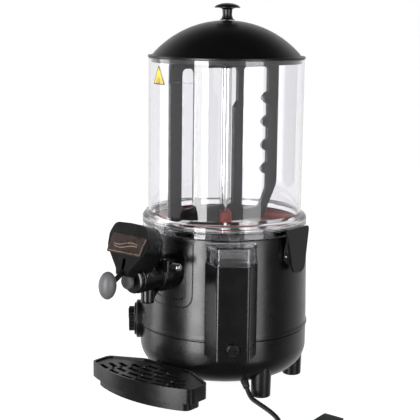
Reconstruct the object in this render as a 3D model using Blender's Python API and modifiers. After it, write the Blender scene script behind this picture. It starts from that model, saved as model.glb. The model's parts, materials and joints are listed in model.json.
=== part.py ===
"""Hot drink dispenser with a ten litre clear tank, a water bath, a stirrer and a tap.

Sizes are in millimetres and are scaled to metres where a mesh is made. The body's
axis is the local Z axis of the empty "dispenser"; the front is towards -Y. An
azimuth is measured from the front, towards +X.
"""

import math

import bmesh
import bpy
from mathutils import Matrix, Vector

MM = 0.001
GAP = 0.3

# Body and base
BODY_TOP = 242.7
BODY_TOP_RADIUS = 126.7
SEAM_HEIGHT = 92.0
SEAM_RADIUS = 129.4
LIP_RADIUS = 131.0
WALL = 3.0
BOWL_CORNER = 40.0
BASE_BOTTOM = 21.0
BOWL_FLOOR_RADIUS = SEAM_RADIUS - BOWL_CORNER
BASE_OPENING = 48.0
ROUND_STEPS = 32

# Tank, lid and stirrer
TANK_RADIUS = 117.5
TANK_WALL = 3.0
TANK_TOP = 498.2
COLLAR_RADIUS = 126.3
COLLAR_TOP = 262.0
LID_RIM = 498.5
LID_RADIUS = 119.0
DOME_RADIUS = 113.0
DOME_RISE = 52.0
TOTAL_HEIGHT = 580.0
KNOB_RADIUS = 20.0
STIRRER_AZIMUTH = 169.0
STIRRER_RADIUS = 107.0
STIRRER_BOTTOM = 247.0
STIRRER_TOP = 491.0
STIRRER_THICKNESS = 6.0
SHAFT_RADIUS = 5.0
TUBE_RADIUS = 8.0

# Water bath and drive
FLOOR_TOP = 241.0
FLOOR_THICKNESS = 2.0
BATH_RADIUS = 112.0
BATH_BOTTOM = 150.0
OUTLET_REACH = 92.0
GEAR_MODULE = 2.5
GEAR_TEETH = 24
PINION_TEETH = 8
GEAR_DISTANCE = GEAR_MODULE * (GEAR_TEETH + PINION_TEETH) / 2 + 0.4
GEAR_LEVEL = 134.0
PLATE_LEVEL = 125.0

# Tap
TAP_AXIS = 191.0
BARREL_RADIUS = 20.0
BARREL_BORE = 14.0
BARREL_START = 118.0
BARREL_END = 200.0
NOZZLE_REACH = 175.5
NOZZLE_BOTTOM = 153.0
SHIELD_FOOT = 229.0
SHIELD_BOTTOM = 203.0
SHIELD_LEAN = 16.0
LEVER_PIVOT = (203.0, 217.5)
LEVER_KNOB = (256.4, 193.0)
KNOB_SIZE = (13.0, 12.0, 19.5)

# Level column, dial, switch, latches, feet and tray
COLUMN_AZIMUTH = 43.5
COLUMN_REACH = 165.0
COLUMN_BOTTOM = 74.0
COLUMN_TOP = 212.0
WINDOW_TOP = 238.0
DIAL_AZIMUTH = -48.0
DIAL_HEIGHT = 92.0
SWITCH_AZIMUTH = -78.0
SWITCH_HEIGHT = 132.0
LATCH_REACH = 140.0
LATCH_PIN_HEIGHT = 214.0
LATCH_PIN_REACH = 131.5
FOOT_REACH = 111.5
FOOT_AZIMUTHS = {"front_right": 70.0, "rear_right": 135.0, "rear_left": -135.0, "front_left": -70.0}
TRAY_RADIUS = 215.0
TRAY_HALF = 98.0
TRAY_TOP = 48.0
TRAY_BAND_BOTTOM = 26.0
TRAY_BOTTOM = 12.5
TRAY_REAR = 129.5
TRAY_REAR_HALF = 46.0
TRAY_SIDE = 156.0
TRAY_STEP_INSET = 8.0
TRAY_STEP_NARROWER = 2.0

# Power cord
CORD_RADIUS = 3.5
GLAND_AZIMUTH = 57.5
GLAND_REACH = 103.0
GLAND_HEIGHT = 23.4
CORD_HEADING = 64.0
CORD_DROP_ANGLE = 45.0
CORD_BEND = 30.0
GLAND_END = 12.0
COIL_CENTRE = (262.0, -170.0)
COIL_INNER = 35.0
COIL_OUTER = 49.0
COIL_HEIGHT = 21.0
PLUG_SIZE = (30.0, 40.0, 24.0)

FRONT_REACH = LEVER_KNOB[0] + KNOB_SIZE[1]
BODY_Y = (FRONT_REACH - LIP_RADIUS) / 2

MATERIALS = {
    "black_gloss": ((0.012, 0.012, 0.013), 0.28, 0.0),
    "black_satin": ((0.016, 0.016, 0.017), 0.45, 0.0),
    "grey_plastic": ((0.045, 0.045, 0.048), 0.5, 0.0),
    "clear_plastic": ((0.85, 0.87, 0.88), 0.08, 0.0),
    "silicone": ((0.62, 0.07, 0.03), 0.5, 0.0),
    "steel": ((0.62, 0.62, 0.6), 0.22, 1.0),
    "plated": ((0.45, 0.45, 0.44), 0.35, 1.0),
    "brass": ((0.55, 0.4, 0.16), 0.35, 1.0),
    "rubber": ((0.012, 0.012, 0.012), 0.8, 0.0),
    "badge_brown": ((0.07, 0.035, 0.025), 0.35, 0.0),
}


# --- scene helpers ---------------------------------------------------------

def clear_scene():
    for obj in list(bpy.data.objects):
        bpy.data.objects.remove(obj, do_unlink=True)


def new_collection(name):
    collection = bpy.data.collections.new(name)
    bpy.context.scene.collection.children.link(collection)
    return collection


def finish(name):
    """The named material, made once."""
    material = bpy.data.materials.get(name)
    if material:
        return material
    color, roughness, metallic = MATERIALS[name]
    material = bpy.data.materials.new(name)
    material.use_nodes = True
    shader = material.node_tree.nodes["Principled BSDF"]
    shader.inputs["Base Color"].default_value = (*color, 1.0)
    shader.inputs["Roughness"].default_value = roughness
    shader.inputs["Metallic"].default_value = metallic
    return material


def place(obj, location=(0, 0, 0), rotation=(0, 0, 0)):
    """Location in millimetres and rotation in degrees, under the dispenser's empty."""
    obj.parent = ROOT
    obj.location = Vector(location) * MM
    obj.rotation_euler = [math.radians(angle) for angle in rotation]
    return obj


def add(name, mesh, material, location=(0, 0, 0), rotation=(0, 0, 0)):
    obj = bpy.data.objects.new(name, mesh)
    mesh.materials.append(finish(material))
    PARTS.objects.link(obj)
    return place(obj, location, rotation)


def smooth(mesh, angle=35.0):
    mesh.shade_smooth()
    mesh.set_sharp_from_angle(angle=math.radians(angle))


def at(azimuth, reach, height=0.0):
    """The point that far from the body's axis, in millimetres."""
    turn = math.radians(azimuth)
    return Vector((reach * math.sin(turn), -reach * math.cos(turn), height))


def arc(centre, radius, start, end, count):
    """Points on an arc, from one angle in degrees to another."""
    step = (end - start) / (count - 1)
    turns = [math.radians(start + step * i) for i in range(count)]
    return [(centre[0] + radius * math.cos(t), centre[1] + radius * math.sin(t)) for t in turns]


def turned(name, profile, material, location=(0, 0, 0), rotation=(0, 0, 0), steps=48):
    """A profile of (radius, height), read down its outer side, turned about local Z."""
    mesh = bpy.data.meshes.new(name)
    points = [(radius * MM, 0, height * MM) for radius, height in profile]
    edges = [(i, i + 1) for i in range(len(points) - 1)]
    if profile[0][0] > 0:
        edges.append((len(points) - 1, 0))
    mesh.from_pydata(points, edges, [])
    obj = add(name, mesh, material, location, rotation)
    screw = obj.modifiers.new("Turn", "SCREW")
    screw.steps = screw.render_steps = steps
    screw.use_merge_vertices = True
    screw.merge_threshold = 0.00001
    screw.use_smooth_shade = True
    return obj


def box(name, size, material, location=(0, 0, 0), rotation=(0, 0, 0), bevel=0.0):
    mesh = bpy.data.meshes.new(name)
    shape = bmesh.new()
    bmesh.ops.create_cube(shape, size=1.0)
    bmesh.ops.scale(shape, vec=Vector(size) * MM, verts=shape.verts)
    shape.to_mesh(mesh)
    shape.free()
    obj = add(name, mesh, material, location, rotation)
    if bevel:
        edge = obj.modifiers.new("Edges", "BEVEL")
        edge.width = bevel * MM
        edge.segments = 1
    return obj


def cylinder(name, radius, depth, material, location=(0, 0, 0), rotation=(0, 0, 0),
             steps=20, end_radius=None):
    """A cylinder about local Z, centred on its location; end_radius is the upper end's."""
    mesh = bpy.data.meshes.new(name)
    shape = bmesh.new()
    bmesh.ops.create_cone(shape, cap_ends=True, segments=steps, radius1=radius * MM,
                          radius2=(end_radius or radius) * MM, depth=depth * MM)
    shape.to_mesh(mesh)
    shape.free()
    smooth(mesh)
    return add(name, mesh, material, location, rotation)


def ellipsoid(name, size, material, location=(0, 0, 0), rotation=(0, 0, 0)):
    mesh = bpy.data.meshes.new(name)
    shape = bmesh.new()
    bmesh.ops.create_uvsphere(shape, u_segments=14, v_segments=8, radius=1.0)
    bmesh.ops.scale(shape, vec=Vector(size) * MM, verts=shape.verts)
    shape.to_mesh(mesh)
    shape.free()
    mesh.shade_smooth()
    return add(name, mesh, material, location, rotation)


def rounded(corners, steps=4):
    """Corners of (x, y, radius), each with a radius turned into an arc-like curve."""
    points = []
    for i, (x, y, radius) in enumerate(corners):
        corner = Vector((x, y))
        if not radius:
            points.append((x, y))
            continue
        before = (Vector(corners[i - 1][:2]) - corner).normalized()
        after = (Vector(corners[(i + 1) % len(corners)][:2]) - corner).normalized()
        reach = radius / math.tan(before.angle(after) / 2)
        start, end = corner + before * reach, corner + after * reach
        for step in range(steps + 1):
            t = step / steps
            point = start * (1 - t) ** 2 + corner * 2 * t * (1 - t) + end * t ** 2
            points.append(tuple(point))
    return points


def mesh_of(obj):
    """A curve object's evaluated mesh, with the caps welded on."""
    mesh = bpy.data.meshes.new_from_object(obj.evaluated_get(bpy.context.evaluated_depsgraph_get()))
    shape = bmesh.new()
    shape.from_mesh(mesh)
    bmesh.ops.remove_doubles(shape, verts=shape.verts, dist=0.000001)
    bmesh.ops.recalc_face_normals(shape, faces=shape.faces)
    shape.to_mesh(mesh)
    shape.free()
    mesh.materials.clear()
    return mesh


def flat(name, loops, thickness, material, location=(0, 0, 0), rotation=(0, 0, 0)):
    """An outline in local XY, with any further loops as holes, centred on local Z."""
    curve = bpy.data.curves.new(name, "CURVE")
    curve.dimensions = "2D"
    curve.fill_mode = "BOTH"
    curve.extrude = thickness / 2 * MM
    for loop in loops:
        spline = curve.splines.new("POLY")
        spline.points.add(len(loop) - 1)
        spline.use_cyclic_u = True
        for point, (x, y) in zip(spline.points, loop):
            point.co = (x * MM, y * MM, 0, 1)
    guide = bpy.data.objects.new(name + "_outline", curve)
    PARTS.objects.link(guide)
    bpy.context.view_layer.update()
    mesh = mesh_of(guide)
    bpy.data.objects.remove(guide)
    return add(name, mesh, material, location, rotation)


def upright(name, loops, low, high, material, azimuth=0.0):
    """A vertical prism between two heights: its outline's Y is the reach towards azimuth."""
    turned_loops = [[(x, -y) for x, y in loop] for loop in loops]
    return flat(name, turned_loops, high - low, material, (0, 0, (low + high) / 2), (0, 0, azimuth))


def sideways(name, loops, thickness, material, azimuth=0.0, offset=0.0):
    """A plate in a vertical plane: its outline's X is the reach, its Y the height."""
    obj = flat(name, loops, thickness, material)
    turn = Matrix.Rotation(math.radians(azimuth - 90.0), 4, "Z") @ Matrix.Rotation(math.radians(90.0), 4, "X")
    obj.data.transform(Matrix.Translation(at(azimuth + 90.0, offset) * MM) @ turn)
    return obj


def tube(name, points, radius, material, cyclic=False, sides=2):
    """A round rod along points in millimetres, as a mesh."""
    curve = bpy.data.curves.new(name, "CURVE")
    curve.dimensions = "3D"
    curve.bevel_depth = radius * MM
    curve.bevel_resolution = sides
    curve.use_fill_caps = True
    spline = curve.splines.new("POLY")
    spline.points.add(len(points) - 1)
    spline.use_cyclic_u = cyclic
    for point, place_of in zip(spline.points, points):
        point.co = (*(Vector(place_of) * MM), 1)
    guide = bpy.data.objects.new(name + "_path", curve)
    PARTS.objects.link(guide)
    bpy.context.view_layer.update()
    mesh = mesh_of(guide)
    bpy.data.objects.remove(guide)
    smooth(mesh, 50.0)
    return add(name, mesh, material)


def helper(obj):
    """Hides a cutter and moves it to the cutters' collection."""
    if obj.name in PARTS.objects:
        PARTS.objects.unlink(obj)
        CUTTERS.objects.link(obj)
    obj.hide_render = True
    obj.display_type = "WIRE"
    return obj


def combine(target, other, operation):
    boolean = target.modifiers.new(operation.title(), "BOOLEAN")
    boolean.operation = operation
    boolean.object = helper(other)
    return target


def cut(target, *others):
    for other in others:
        combine(target, other, "DIFFERENCE")
    return target


def join(target, *others):
    for other in others:
        combine(target, other, "UNION")
    return target


def set_origin(obj, point):
    """Moves an unrotated object's origin to a point in millimetres, leaving its shape in place."""
    shift = Vector(point) * MM - obj.location
    obj.data.transform(Matrix.Translation(-shift))
    obj.location += shift
    return obj


def radial(azimuth):
    """The rotation that turns local Z outwards at an azimuth and keeps local X level."""
    return (90.0, 0.0, azimuth)


# --- body ------------------------------------------------------------------

def bowl(offset, count=5):
    """The rounded lower edge of the base, from its side to its floor."""
    centre = (BOWL_FLOOR_RADIUS, SEAM_HEIGHT - 31.0)
    return arc(centre, BOWL_CORNER + offset, 0.0, -90.0, count)


def clearance():
    """The outer shape of body and base with a gap round it, which neighbours are cut by."""
    side = [(0, 260), (BODY_TOP_RADIUS + GAP, 260), (BODY_TOP_RADIUS + GAP, 240),
            (SEAM_RADIUS + GAP, 99), (LIP_RADIUS + GAP, 95.5), (LIP_RADIUS + GAP, SEAM_HEIGHT - GAP),
            (SEAM_RADIUS + GAP, SEAM_HEIGHT - 2 * GAP)]
    profile = side + bowl(GAP) + [(0, BASE_BOTTOM - GAP)]
    return helper(turned("body_clearance", profile, "black_gloss", steps=ROUND_STEPS))


def make_shell():
    profile = [(120.8, BODY_TOP), (125.0, BODY_TOP), (BODY_TOP_RADIUS, 240.0), (SEAM_RADIUS, 99.0),
               (LIP_RADIUS, 95.5), (LIP_RADIUS, SEAM_HEIGHT + GAP), (127.4, SEAM_HEIGHT + GAP),
               (126.4, 99.0), (BODY_TOP_RADIUS - WALL, 235.7), (113.5, 235.7), (113.5, 238.7), (120.8, 238.7)]
    shell = turned("body_shell", profile, "black_gloss", steps=ROUND_STEPS)
    tap_hole = cylinder("tap_hole", BARREL_RADIUS + 0.5, 30, "steel", at(0, 125, TAP_AXIS), radial(0), 24)
    filler_hole = cylinder("filler_hole", 7, 30, "steel", at(COLUMN_AZIMUTH, 125, 168), radial(COLUMN_AZIMUTH), 16)
    switch_hole = box("switch_hole", (20, 26, 30), "steel", at(SWITCH_AZIMUTH, 125, SWITCH_HEIGHT),
                      radial(SWITCH_AZIMUTH))
    cut(shell, tap_hole, filler_hole, switch_hole, dial_hole("shell_dial_hole"))
    for azimuth in (90.0, -90.0):
        add_latch_lug(shell, azimuth)
    return shell


def add_latch_lug(shell, azimuth):
    """The forked lug that a latch's pin goes through, moulded on the shell."""
    name = f"latch_lug_{int(azimuth) % 360}"
    turn = radial(azimuth)
    lug = box(name, (31, 14, 14.5), "steel", at(azimuth, 127.05, LATCH_PIN_HEIGHT), turn)
    cut(lug, box(name + "_slot", (22, 40, 20), "steel", at(azimuth, 139, LATCH_PIN_HEIGHT), turn))
    pin_place = at(azimuth, LATCH_PIN_REACH, LATCH_PIN_HEIGHT)
    cut(lug, cylinder(name + "_bore", 2.3, 60, "steel", pin_place, (90, 0, 0), 12))
    return join(shell, lug)


def dial_hole(name):
    return cylinder(name, 9, 30, "steel", at(DIAL_AZIMUTH, 125, DIAL_HEIGHT), radial(DIAL_AZIMUTH), 20)


def make_base():
    inner = arc((BOWL_FLOOR_RADIUS, SEAM_HEIGHT - 31.0), BOWL_CORNER - WALL, -90.0, 0.0, 5)
    outer = [(SEAM_RADIUS, SEAM_HEIGHT)] + bowl(0) + [(BASE_OPENING, BASE_BOTTOM)]
    profile = outer + [(BASE_OPENING, BASE_BOTTOM + WALL)] + inner + [(SEAM_RADIUS - WALL, SEAM_HEIGHT)]
    base = turned("body_base", profile, "black_gloss", steps=ROUND_STEPS)
    gland_place = at(GLAND_AZIMUTH, GLAND_REACH, GLAND_HEIGHT)
    gland_hole = cylinder("gland_hole", 6.5, 20, "steel", gland_place, gland_turn(), steps=16)
    return cut(base, dial_hole("base_dial_hole"), gland_hole)


def gland_turn():
    """The rotation that turns local Z outwards and down, along the cord where it leaves the base."""
    return (90.0 + CORD_DROP_ANGLE, 0.0, CORD_HEADING)


def make_base_plate():
    plate = turned("base_plate", [(0, BASE_BOTTOM - GAP), (89, BASE_BOTTOM - GAP), (89, 19.0), (0, 19.0)], "plated",
                   steps=40)
    for i, offset in enumerate((-36, -18, 0, 18, 36)):
        cut(plate, box(f"vent_{i}", (6, 52, 8), "steel", (offset, 0, 20)))
    return plate


def make_foot(name, azimuth):
    foot = cylinder("foot_" + name, 16, 72, "black_satin", at(azimuth, FOOT_REACH, 36), steps=16, end_radius=15)
    boolean = foot.modifiers.new("Fit", "BOOLEAN")
    boolean.object = CLEARANCE
    return foot


def fit_to_body(obj):
    """Cuts away what would stand inside the body."""
    boolean = obj.modifiers.new("Fit", "BOOLEAN")
    boolean.object = CLEARANCE
    return obj


# --- tank, lid and stirrer ---------------------------------------------------

def make_tank():
    inner = TANK_RADIUS - TANK_WALL
    profile = [(inner, TANK_TOP), (TANK_RADIUS, TANK_TOP), (TANK_RADIUS, COLLAR_TOP + 4),
               (TANK_RADIUS + 2, COLLAR_TOP + 0.5), (COLLAR_RADIUS - 2, COLLAR_TOP - 1.5),
               (COLLAR_RADIUS, COLLAR_TOP - 5), (COLLAR_RADIUS, BODY_TOP + GAP), (121.5, BODY_TOP + GAP),
               (121.5, 255.0), (inner, 255.0)]
    return turned("tank", profile, "clear_plastic", steps=ROUND_STEPS)


def make_gasket():
    profile = [(103, 246.5), (107, 248.5), (118.5, 248.5), (120.2, 252.0), (120.2, 241.3), (103, 241.3)]
    return turned("tank_gasket", profile, "silicone", steps=ROUND_STEPS)


def make_lid():
    radius = (DOME_RADIUS ** 2 + DOME_RISE ** 2) / (2 * DOME_RISE)
    centre = (0, LID_RIM + 4 + DOME_RISE - radius)
    edge = math.degrees(math.asin(DOME_RADIUS / radius))
    outer = arc(centre, radius, 90, 90 - edge, 6)
    inner = arc(centre, radius - 2.5, 90 - edge + 1.5, 90, 5)
    rim = [(LID_RADIUS - 1, LID_RIM + 4), (LID_RADIUS, LID_RIM + 3), (LID_RADIUS, LID_RIM),
           (113.8, LID_RIM), (113.8, 492.0), (111.3, 492.0)]
    lid = turned("lid_dome", [(0, outer[0][1])] + outer[1:] + rim + inner[:-1] + [(0, inner[-1][1])], "black_satin",
                 steps=ROUND_STEPS)
    return cut(lid, cylinder("lid_screw_hole", 2.9, 20, "steel", (0, 0, 552), steps=16))


def make_lid_knob():
    apex = LID_RIM + 4 + DOME_RISE
    profile = [(0, TOTAL_HEIGHT), (8, TOTAL_HEIGHT - 0.7), (15, TOTAL_HEIGHT - 3), (19, TOTAL_HEIGHT - 5.5),
               (KNOB_RADIUS, TOTAL_HEIGHT - 6.8), (18.5, TOTAL_HEIGHT - 7.6), (9, TOTAL_HEIGHT - 8),
               (7.2, TOTAL_HEIGHT - 10), (7.0, apex + 5), (8.5, apex + 2), (11, apex + GAP), (0, apex + GAP)]
    knob = turned("lid_knob", profile, "black_satin", steps=20)
    return cut(knob, cylinder("lid_knob_bore", 2.8, 24, "steel", (0, 0, apex + 2), steps=16))


def make_lid_screw():
    apex = LID_RIM + 4 + DOME_RISE
    head = apex - 3.2
    profile = [(0, apex + 12), (2.5, apex + 12), (2.5, head), (5, head), (5, head - 2), (3.5, head - 3.4),
               (0, head - 3.4)]
    return turned("lid_knob_screw", profile, "plated", steps=16)


def wavy_edge(low, high, valley, peak, bumps):
    """The scraper arm's inner edge, read upwards: round bumps that stand inwards."""
    points = []
    pitch = (high - low) / bumps
    for bump in range(bumps):
        for reach, share in ((valley, 0.02), (valley, 0.18), (peak + 3, 0.32), (peak, 0.5), (peak + 3, 0.68),
                             (valley, 0.82)):
            points.append((reach, low + pitch * (bump + share)))
    return points


def make_stirrer():
    half = STIRRER_RADIUS
    low, high = STIRRER_BOTTOM, STIRRER_TOP
    window_top, window_low = high - 7, low + 28
    outline = rounded([(-half, low, 8), (-13, low, 0), (-13, 267.5, 3), (13, 267.5, 3), (13, low, 0),
                       (half - 28, low, 12), (half, low + 52, 30), (half, high, 0), (-half, high, 0)])
    left = rounded([(-86.5, window_low, 8), (-61.7, window_low, 8), (-61.7, window_top, 8), (-86.5, window_top, 8)])
    middle = rounded([(-49, window_low, 6), (15, window_low, 4), (15, 425, 0), (22, 433, 0), (22, window_top, 6),
                      (-49, window_top, 6)])
    wave = [(x, z, 0) for x, z in wavy_edge(306.0, 454.8, 85.5, 73.5, 4)]
    right = rounded([(33, 264, 6), (72, 264, 10), (82, 290, 0)] + wave + [(85.5, window_top, 6), (33, window_top, 6)])
    frame = sideways("stirrer_frame", [outline, left, middle, right], STIRRER_THICKNESS, "black_satin",
                     STIRRER_AZIMUTH)
    hub = cylinder("stirrer_hub", 11, 7, "steel", (0, 0, high - 3.5), steps=24)
    shaft_hole = cylinder("stirrer_bore", SHAFT_RADIUS + GAP, 60, "steel", (0, 0, 262), steps=16)
    return cut(join(frame, hub), shaft_hole)


def make_stirrer_tube():
    top, low = STIRRER_TOP - 7 - GAP, STIRRER_BOTTOM + 28 + GAP
    profile = [(0, top), (TUBE_RADIUS, top), (TUBE_RADIUS, low), (SHAFT_RADIUS + 0.6, low), (SHAFT_RADIUS + 0.6, 320),
               (0, 320)]
    return turned("stirrer_tube", profile, "steel", steps=20)


def make_drive_shaft():
    profile = [(0, 312), (SHAFT_RADIUS - 1, 312), (SHAFT_RADIUS, 311), (SHAFT_RADIUS, 112), (0, 112)]
    return turned("drive_shaft", profile, "steel", steps=16)


def make_shaft_seal():
    profile = [(SHAFT_RADIUS + GAP, 264), (8, 265), (11.3, 262), (11.3, 246), (18, 244.3), (18, 241.3),
               (SHAFT_RADIUS + GAP, 241.3)]
    return turned("shaft_seal", profile, "silicone", steps=16)


# --- water bath and drive ------------------------------------------------------

def make_floor():
    low = FLOOR_TOP - FLOOR_THICKNESS
    plate = turned("heated_floor", [(7, FLOOR_TOP), (120.2, FLOOR_TOP), (120.2, low), (7, low)], "steel", steps=ROUND_STEPS)
    return cut(plate, cylinder("outlet_hole", 13.2, 10, "steel", at(0, OUTLET_REACH, 240), steps=20))


def make_bath():
    top = FLOOR_TOP - FLOOR_THICKNESS - GAP
    profile = [(BATH_RADIUS - 1.5, top), (BATH_RADIUS, top), (BATH_RADIUS, BATH_BOTTOM + 8),
               (BATH_RADIUS - 8, BATH_BOTTOM), (13, BATH_BOTTOM), (13, top), (14.5, top),
               (14.5, BATH_BOTTOM + 1.5), (BATH_RADIUS - 8.5, BATH_BOTTOM + 1.5), (BATH_RADIUS - 1.5, BATH_BOTTOM + 9)]
    bath = turned("water_bath", profile, "steel", steps=32)
    cut(bath, cylinder("bath_outlet_hole", 15.6, 40, "steel", at(0, BATH_RADIUS, TAP_AXIS), radial(0), 20))
    cut(bath, cylinder("bath_filler_hole", 6.3, 40, "steel", at(COLUMN_AZIMUTH, BATH_RADIUS, 168),
                       radial(COLUMN_AZIMUTH), 16))
    for azimuth in (168.0, 192.0):
        cut(bath, cylinder(f"element_hole_{int(azimuth)}", 4.5, 20, "steel", at(azimuth, 70, BATH_BOTTOM), steps=12))
    return bath


def make_outlet_pipe():
    bend = 17.0
    path = [(0, -OUTLET_REACH, FLOOR_TOP - FLOOR_THICKNESS - GAP)]
    path += [(0, -y, z) for y, z in arc((OUTLET_REACH + bend, TAP_AXIS + bend), bend, 180, 270, 4)]
    path += [(0, -BARREL_START + GAP, TAP_AXIS)]
    pipe = tube("outlet_pipe", path, 15.0, "steel")
    inner = [(0, -OUTLET_REACH, 250.0)] + path[1:-1] + [(0, -BARREL_START - 10, TAP_AXIS)]
    return cut(pipe, tube("outlet_bore", inner, 13.0, "steel"))


def make_filler_pipe():
    start, end = at(COLUMN_AZIMUTH, BATH_RADIUS - 4, 168), at(COLUMN_AZIMUTH, 138, 168)
    pipe = tube("filler_pipe", [start, end], 6.0, "silicone")
    return cut(pipe, tube("filler_bore", [at(COLUMN_AZIMUTH, 90, 168), at(COLUMN_AZIMUTH, 150, 168)], 4.4, "steel"))


def make_element():
    ring = [(70 * math.sin(math.radians(a)), -70 * math.cos(math.radians(a)), 162) for a in range(-168, 169, 24)]
    legs = [at(192, 70, 141), at(192, 70, 158)], [at(168, 70, 158), at(168, 70, 141)]
    return tube("heating_element", legs[0] + ring + legs[1], 4.0, "plated")


def gear_outline(teeth, module):
    """A spur gear's outline with straight-sided teeth, thinned for running clearance."""
    pitch_radius = teeth * module / 2
    points = []
    for tooth in range(teeth):
        middle = 360.0 / teeth * tooth
        for radius, share in ((pitch_radius - 1.15 * module, -0.34), (pitch_radius, -0.21),
                              (pitch_radius + 0.85 * module, -0.1), (pitch_radius + 0.85 * module, 0.1),
                              (pitch_radius, 0.21), (pitch_radius - 1.15 * module, 0.34)):
            turn = math.radians(middle + share * 360.0 / teeth)
            points.append((radius * math.cos(turn), radius * math.sin(turn)))
    return points


def make_gears():
    gear = flat("drive_gear", [gear_outline(GEAR_TEETH, GEAR_MODULE)], 8, "brass", (0, 0, GEAR_LEVEL),
                (0, 0, 90 + 180 / GEAR_TEETH))
    cut(gear, cylinder("gear_bore", SHAFT_RADIUS + GAP, 12, "steel", (0, 0, GEAR_LEVEL), steps=16))
    pinion = flat("motor_pinion", [gear_outline(PINION_TEETH, GEAR_MODULE)], 10, "plated",
                  (0, GEAR_DISTANCE, GEAR_LEVEL), (0, 0, 90))
    return join(pinion, cylinder("pinion_shaft", 3, 28, "steel", (0, GEAR_DISTANCE, GEAR_LEVEL - 9), steps=12))


def make_gear_plate():
    outline = rounded([(-58, -30, 6), (58, -30, 6), (58, 74, 6), (-58, 74, 6)])
    plate = flat("gear_plate", [outline], 3, "plated", (0, 0, PLATE_LEVEL))
    for i, (x, y) in enumerate(((-50, -22), (50, -22), (-50, 62), (50, 62))):
        top, low = PLATE_LEVEL, BASE_BOTTOM + WALL + GAP
        join(plate, cylinder(f"plate_leg_{i}", 4.5, top - low, "plated", (x, y, (top + low) / 2), steps=12))
    cut(plate, cylinder("bush_hole", 8.3, 10, "steel", (0, 0, PLATE_LEVEL), steps=20))
    return cut(plate, cylinder("pinion_hole", 10, 10, "steel", (0, GEAR_DISTANCE, PLATE_LEVEL), steps=20))


def make_bush():
    top = PLATE_LEVEL + 4
    profile = [(SHAFT_RADIUS + GAP, top), (8, top), (8, PLATE_LEVEL - 1.8), (9.8, PLATE_LEVEL - 1.8),
               (9.8, PLATE_LEVEL - 5), (SHAFT_RADIUS + GAP, PLATE_LEVEL - 5)]
    return turned("shaft_bush", profile, "brass", steps=20)


def make_motor():
    top = PLATE_LEVEL - 1.8
    motor = turned("gear_motor", [(0, top), (29, top), (30, top - 1), (30, 104), (24, 102), (24, 62), (22, 60), (0, 60)],
                   "plated", (0, GEAR_DISTANCE, 0), steps=20)
    return cut(motor, cylinder("motor_bore", 3.6, 40, "steel", (0, GEAR_DISTANCE, 126), steps=12))


def make_thermostat():
    body = box("thermostat", (34, 34, 26), "grey_plastic", at(DIAL_AZIMUTH, 106, DIAL_HEIGHT), radial(DIAL_AZIMUTH), 1.5)
    return cut(body, cylinder("thermostat_bore", 3.6, 40, "steel", at(DIAL_AZIMUTH, 125, DIAL_HEIGHT),
                              radial(DIAL_AZIMUTH), 12))


def make_terminal_block():
    return box("terminal_block", (44, 18, 14), "grey_plastic", (24, -62, BASE_BOTTOM + WALL + 7 + GAP), (0, 0, 20), 1.0)


# --- level column ---------------------------------------------------------------

def column_outline(inset):
    face, side = 23.7 - inset * 0.75, 38.0 - inset * 1.05
    return rounded([(-side, 118, 0), (side, 118, 0), (side, 129, 3), (face, COLUMN_REACH - inset, 3.5),
                    (-face, COLUMN_REACH - inset, 3.5), (-side, 129, 3)], 3)


def inner_column(inset, back):
    face, side = 23.7 - inset * 0.75, 38.0 - inset * 1.25
    return rounded([(-side, back, 0), (side, back, 0), (face, COLUMN_REACH - inset, 3), (-face, COLUMN_REACH - inset, 3)], 3)


def make_column():
    housing = upright("level_housing", [column_outline(0)], COLUMN_BOTTOM, COLUMN_TOP, "black_gloss", COLUMN_AZIMUTH)
    cut(housing, upright("column_well", [inner_column(2.6, 134)], 78, COLUMN_TOP + 5, "steel", COLUMN_AZIMUTH))
    cut(housing, cylinder("column_filler_hole", 6.3, 24, "steel", at(COLUMN_AZIMUTH, 128, 168), radial(COLUMN_AZIMUTH), 16))
    cut(housing, cylinder("column_plug_hole", 6.4, 16, "steel", at(COLUMN_AZIMUTH, 165, DIAL_HEIGHT),
                          radial(COLUMN_AZIMUTH), 16))
    return fit_to_body(housing)


def make_window():
    window = upright("level_window", [column_outline(1.2)], COLUMN_TOP + GAP, WINDOW_TOP, "clear_plastic", COLUMN_AZIMUTH)
    cut(window, upright("window_well", [inner_column(3.4, 134)], COLUMN_TOP - 5, WINDOW_TOP + 5, "steel", COLUMN_AZIMUTH))
    return fit_to_body(window)


def make_level_lid():
    low, top = WINDOW_TOP + GAP, WINDOW_TOP + 2.7
    outline = rounded([(-37.5, 129.5, 2), (37.5, 129.5, 2), (24, COLUMN_REACH + 0.8, 3.5), (-24, COLUMN_REACH + 0.8, 3.5)], 3)
    lid = upright("level_lid", [outline], low, top, "clear_plastic", COLUMN_AZIMUTH)
    finger = box("lid_finger", (15, 3, 16), "steel", at(COLUMN_AZIMUTH, 162.5, top + 6.5), (0, 0, COLUMN_AZIMUTH), 1.0)
    hole = box("lid_finger_hole", (7, 10, 6), "steel", at(COLUMN_AZIMUTH, 162.5, top + 7), (0, 0, COLUMN_AZIMUTH))
    return cut(join(lid, finger), hole)


def make_drain_plug():
    profile = [(0, 6.0), (7.5, 6.0), (9.5, 4.5), (9.5, GAP), (6.0, GAP), (6.0, -10), (0, -10)]
    plug = turned("drain_plug", profile, "black_satin", at(COLUMN_AZIMUTH, COLUMN_REACH, DIAL_HEIGHT),
                  radial(COLUMN_AZIMUTH), 18)
    slot = box("plug_slot", (12, 2, 4), "steel", at(COLUMN_AZIMUTH, COLUMN_REACH + 6, DIAL_HEIGHT), radial(COLUMN_AZIMUTH))
    return cut(plug, slot)


# --- dial and switch ---------------------------------------------------------------

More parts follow.
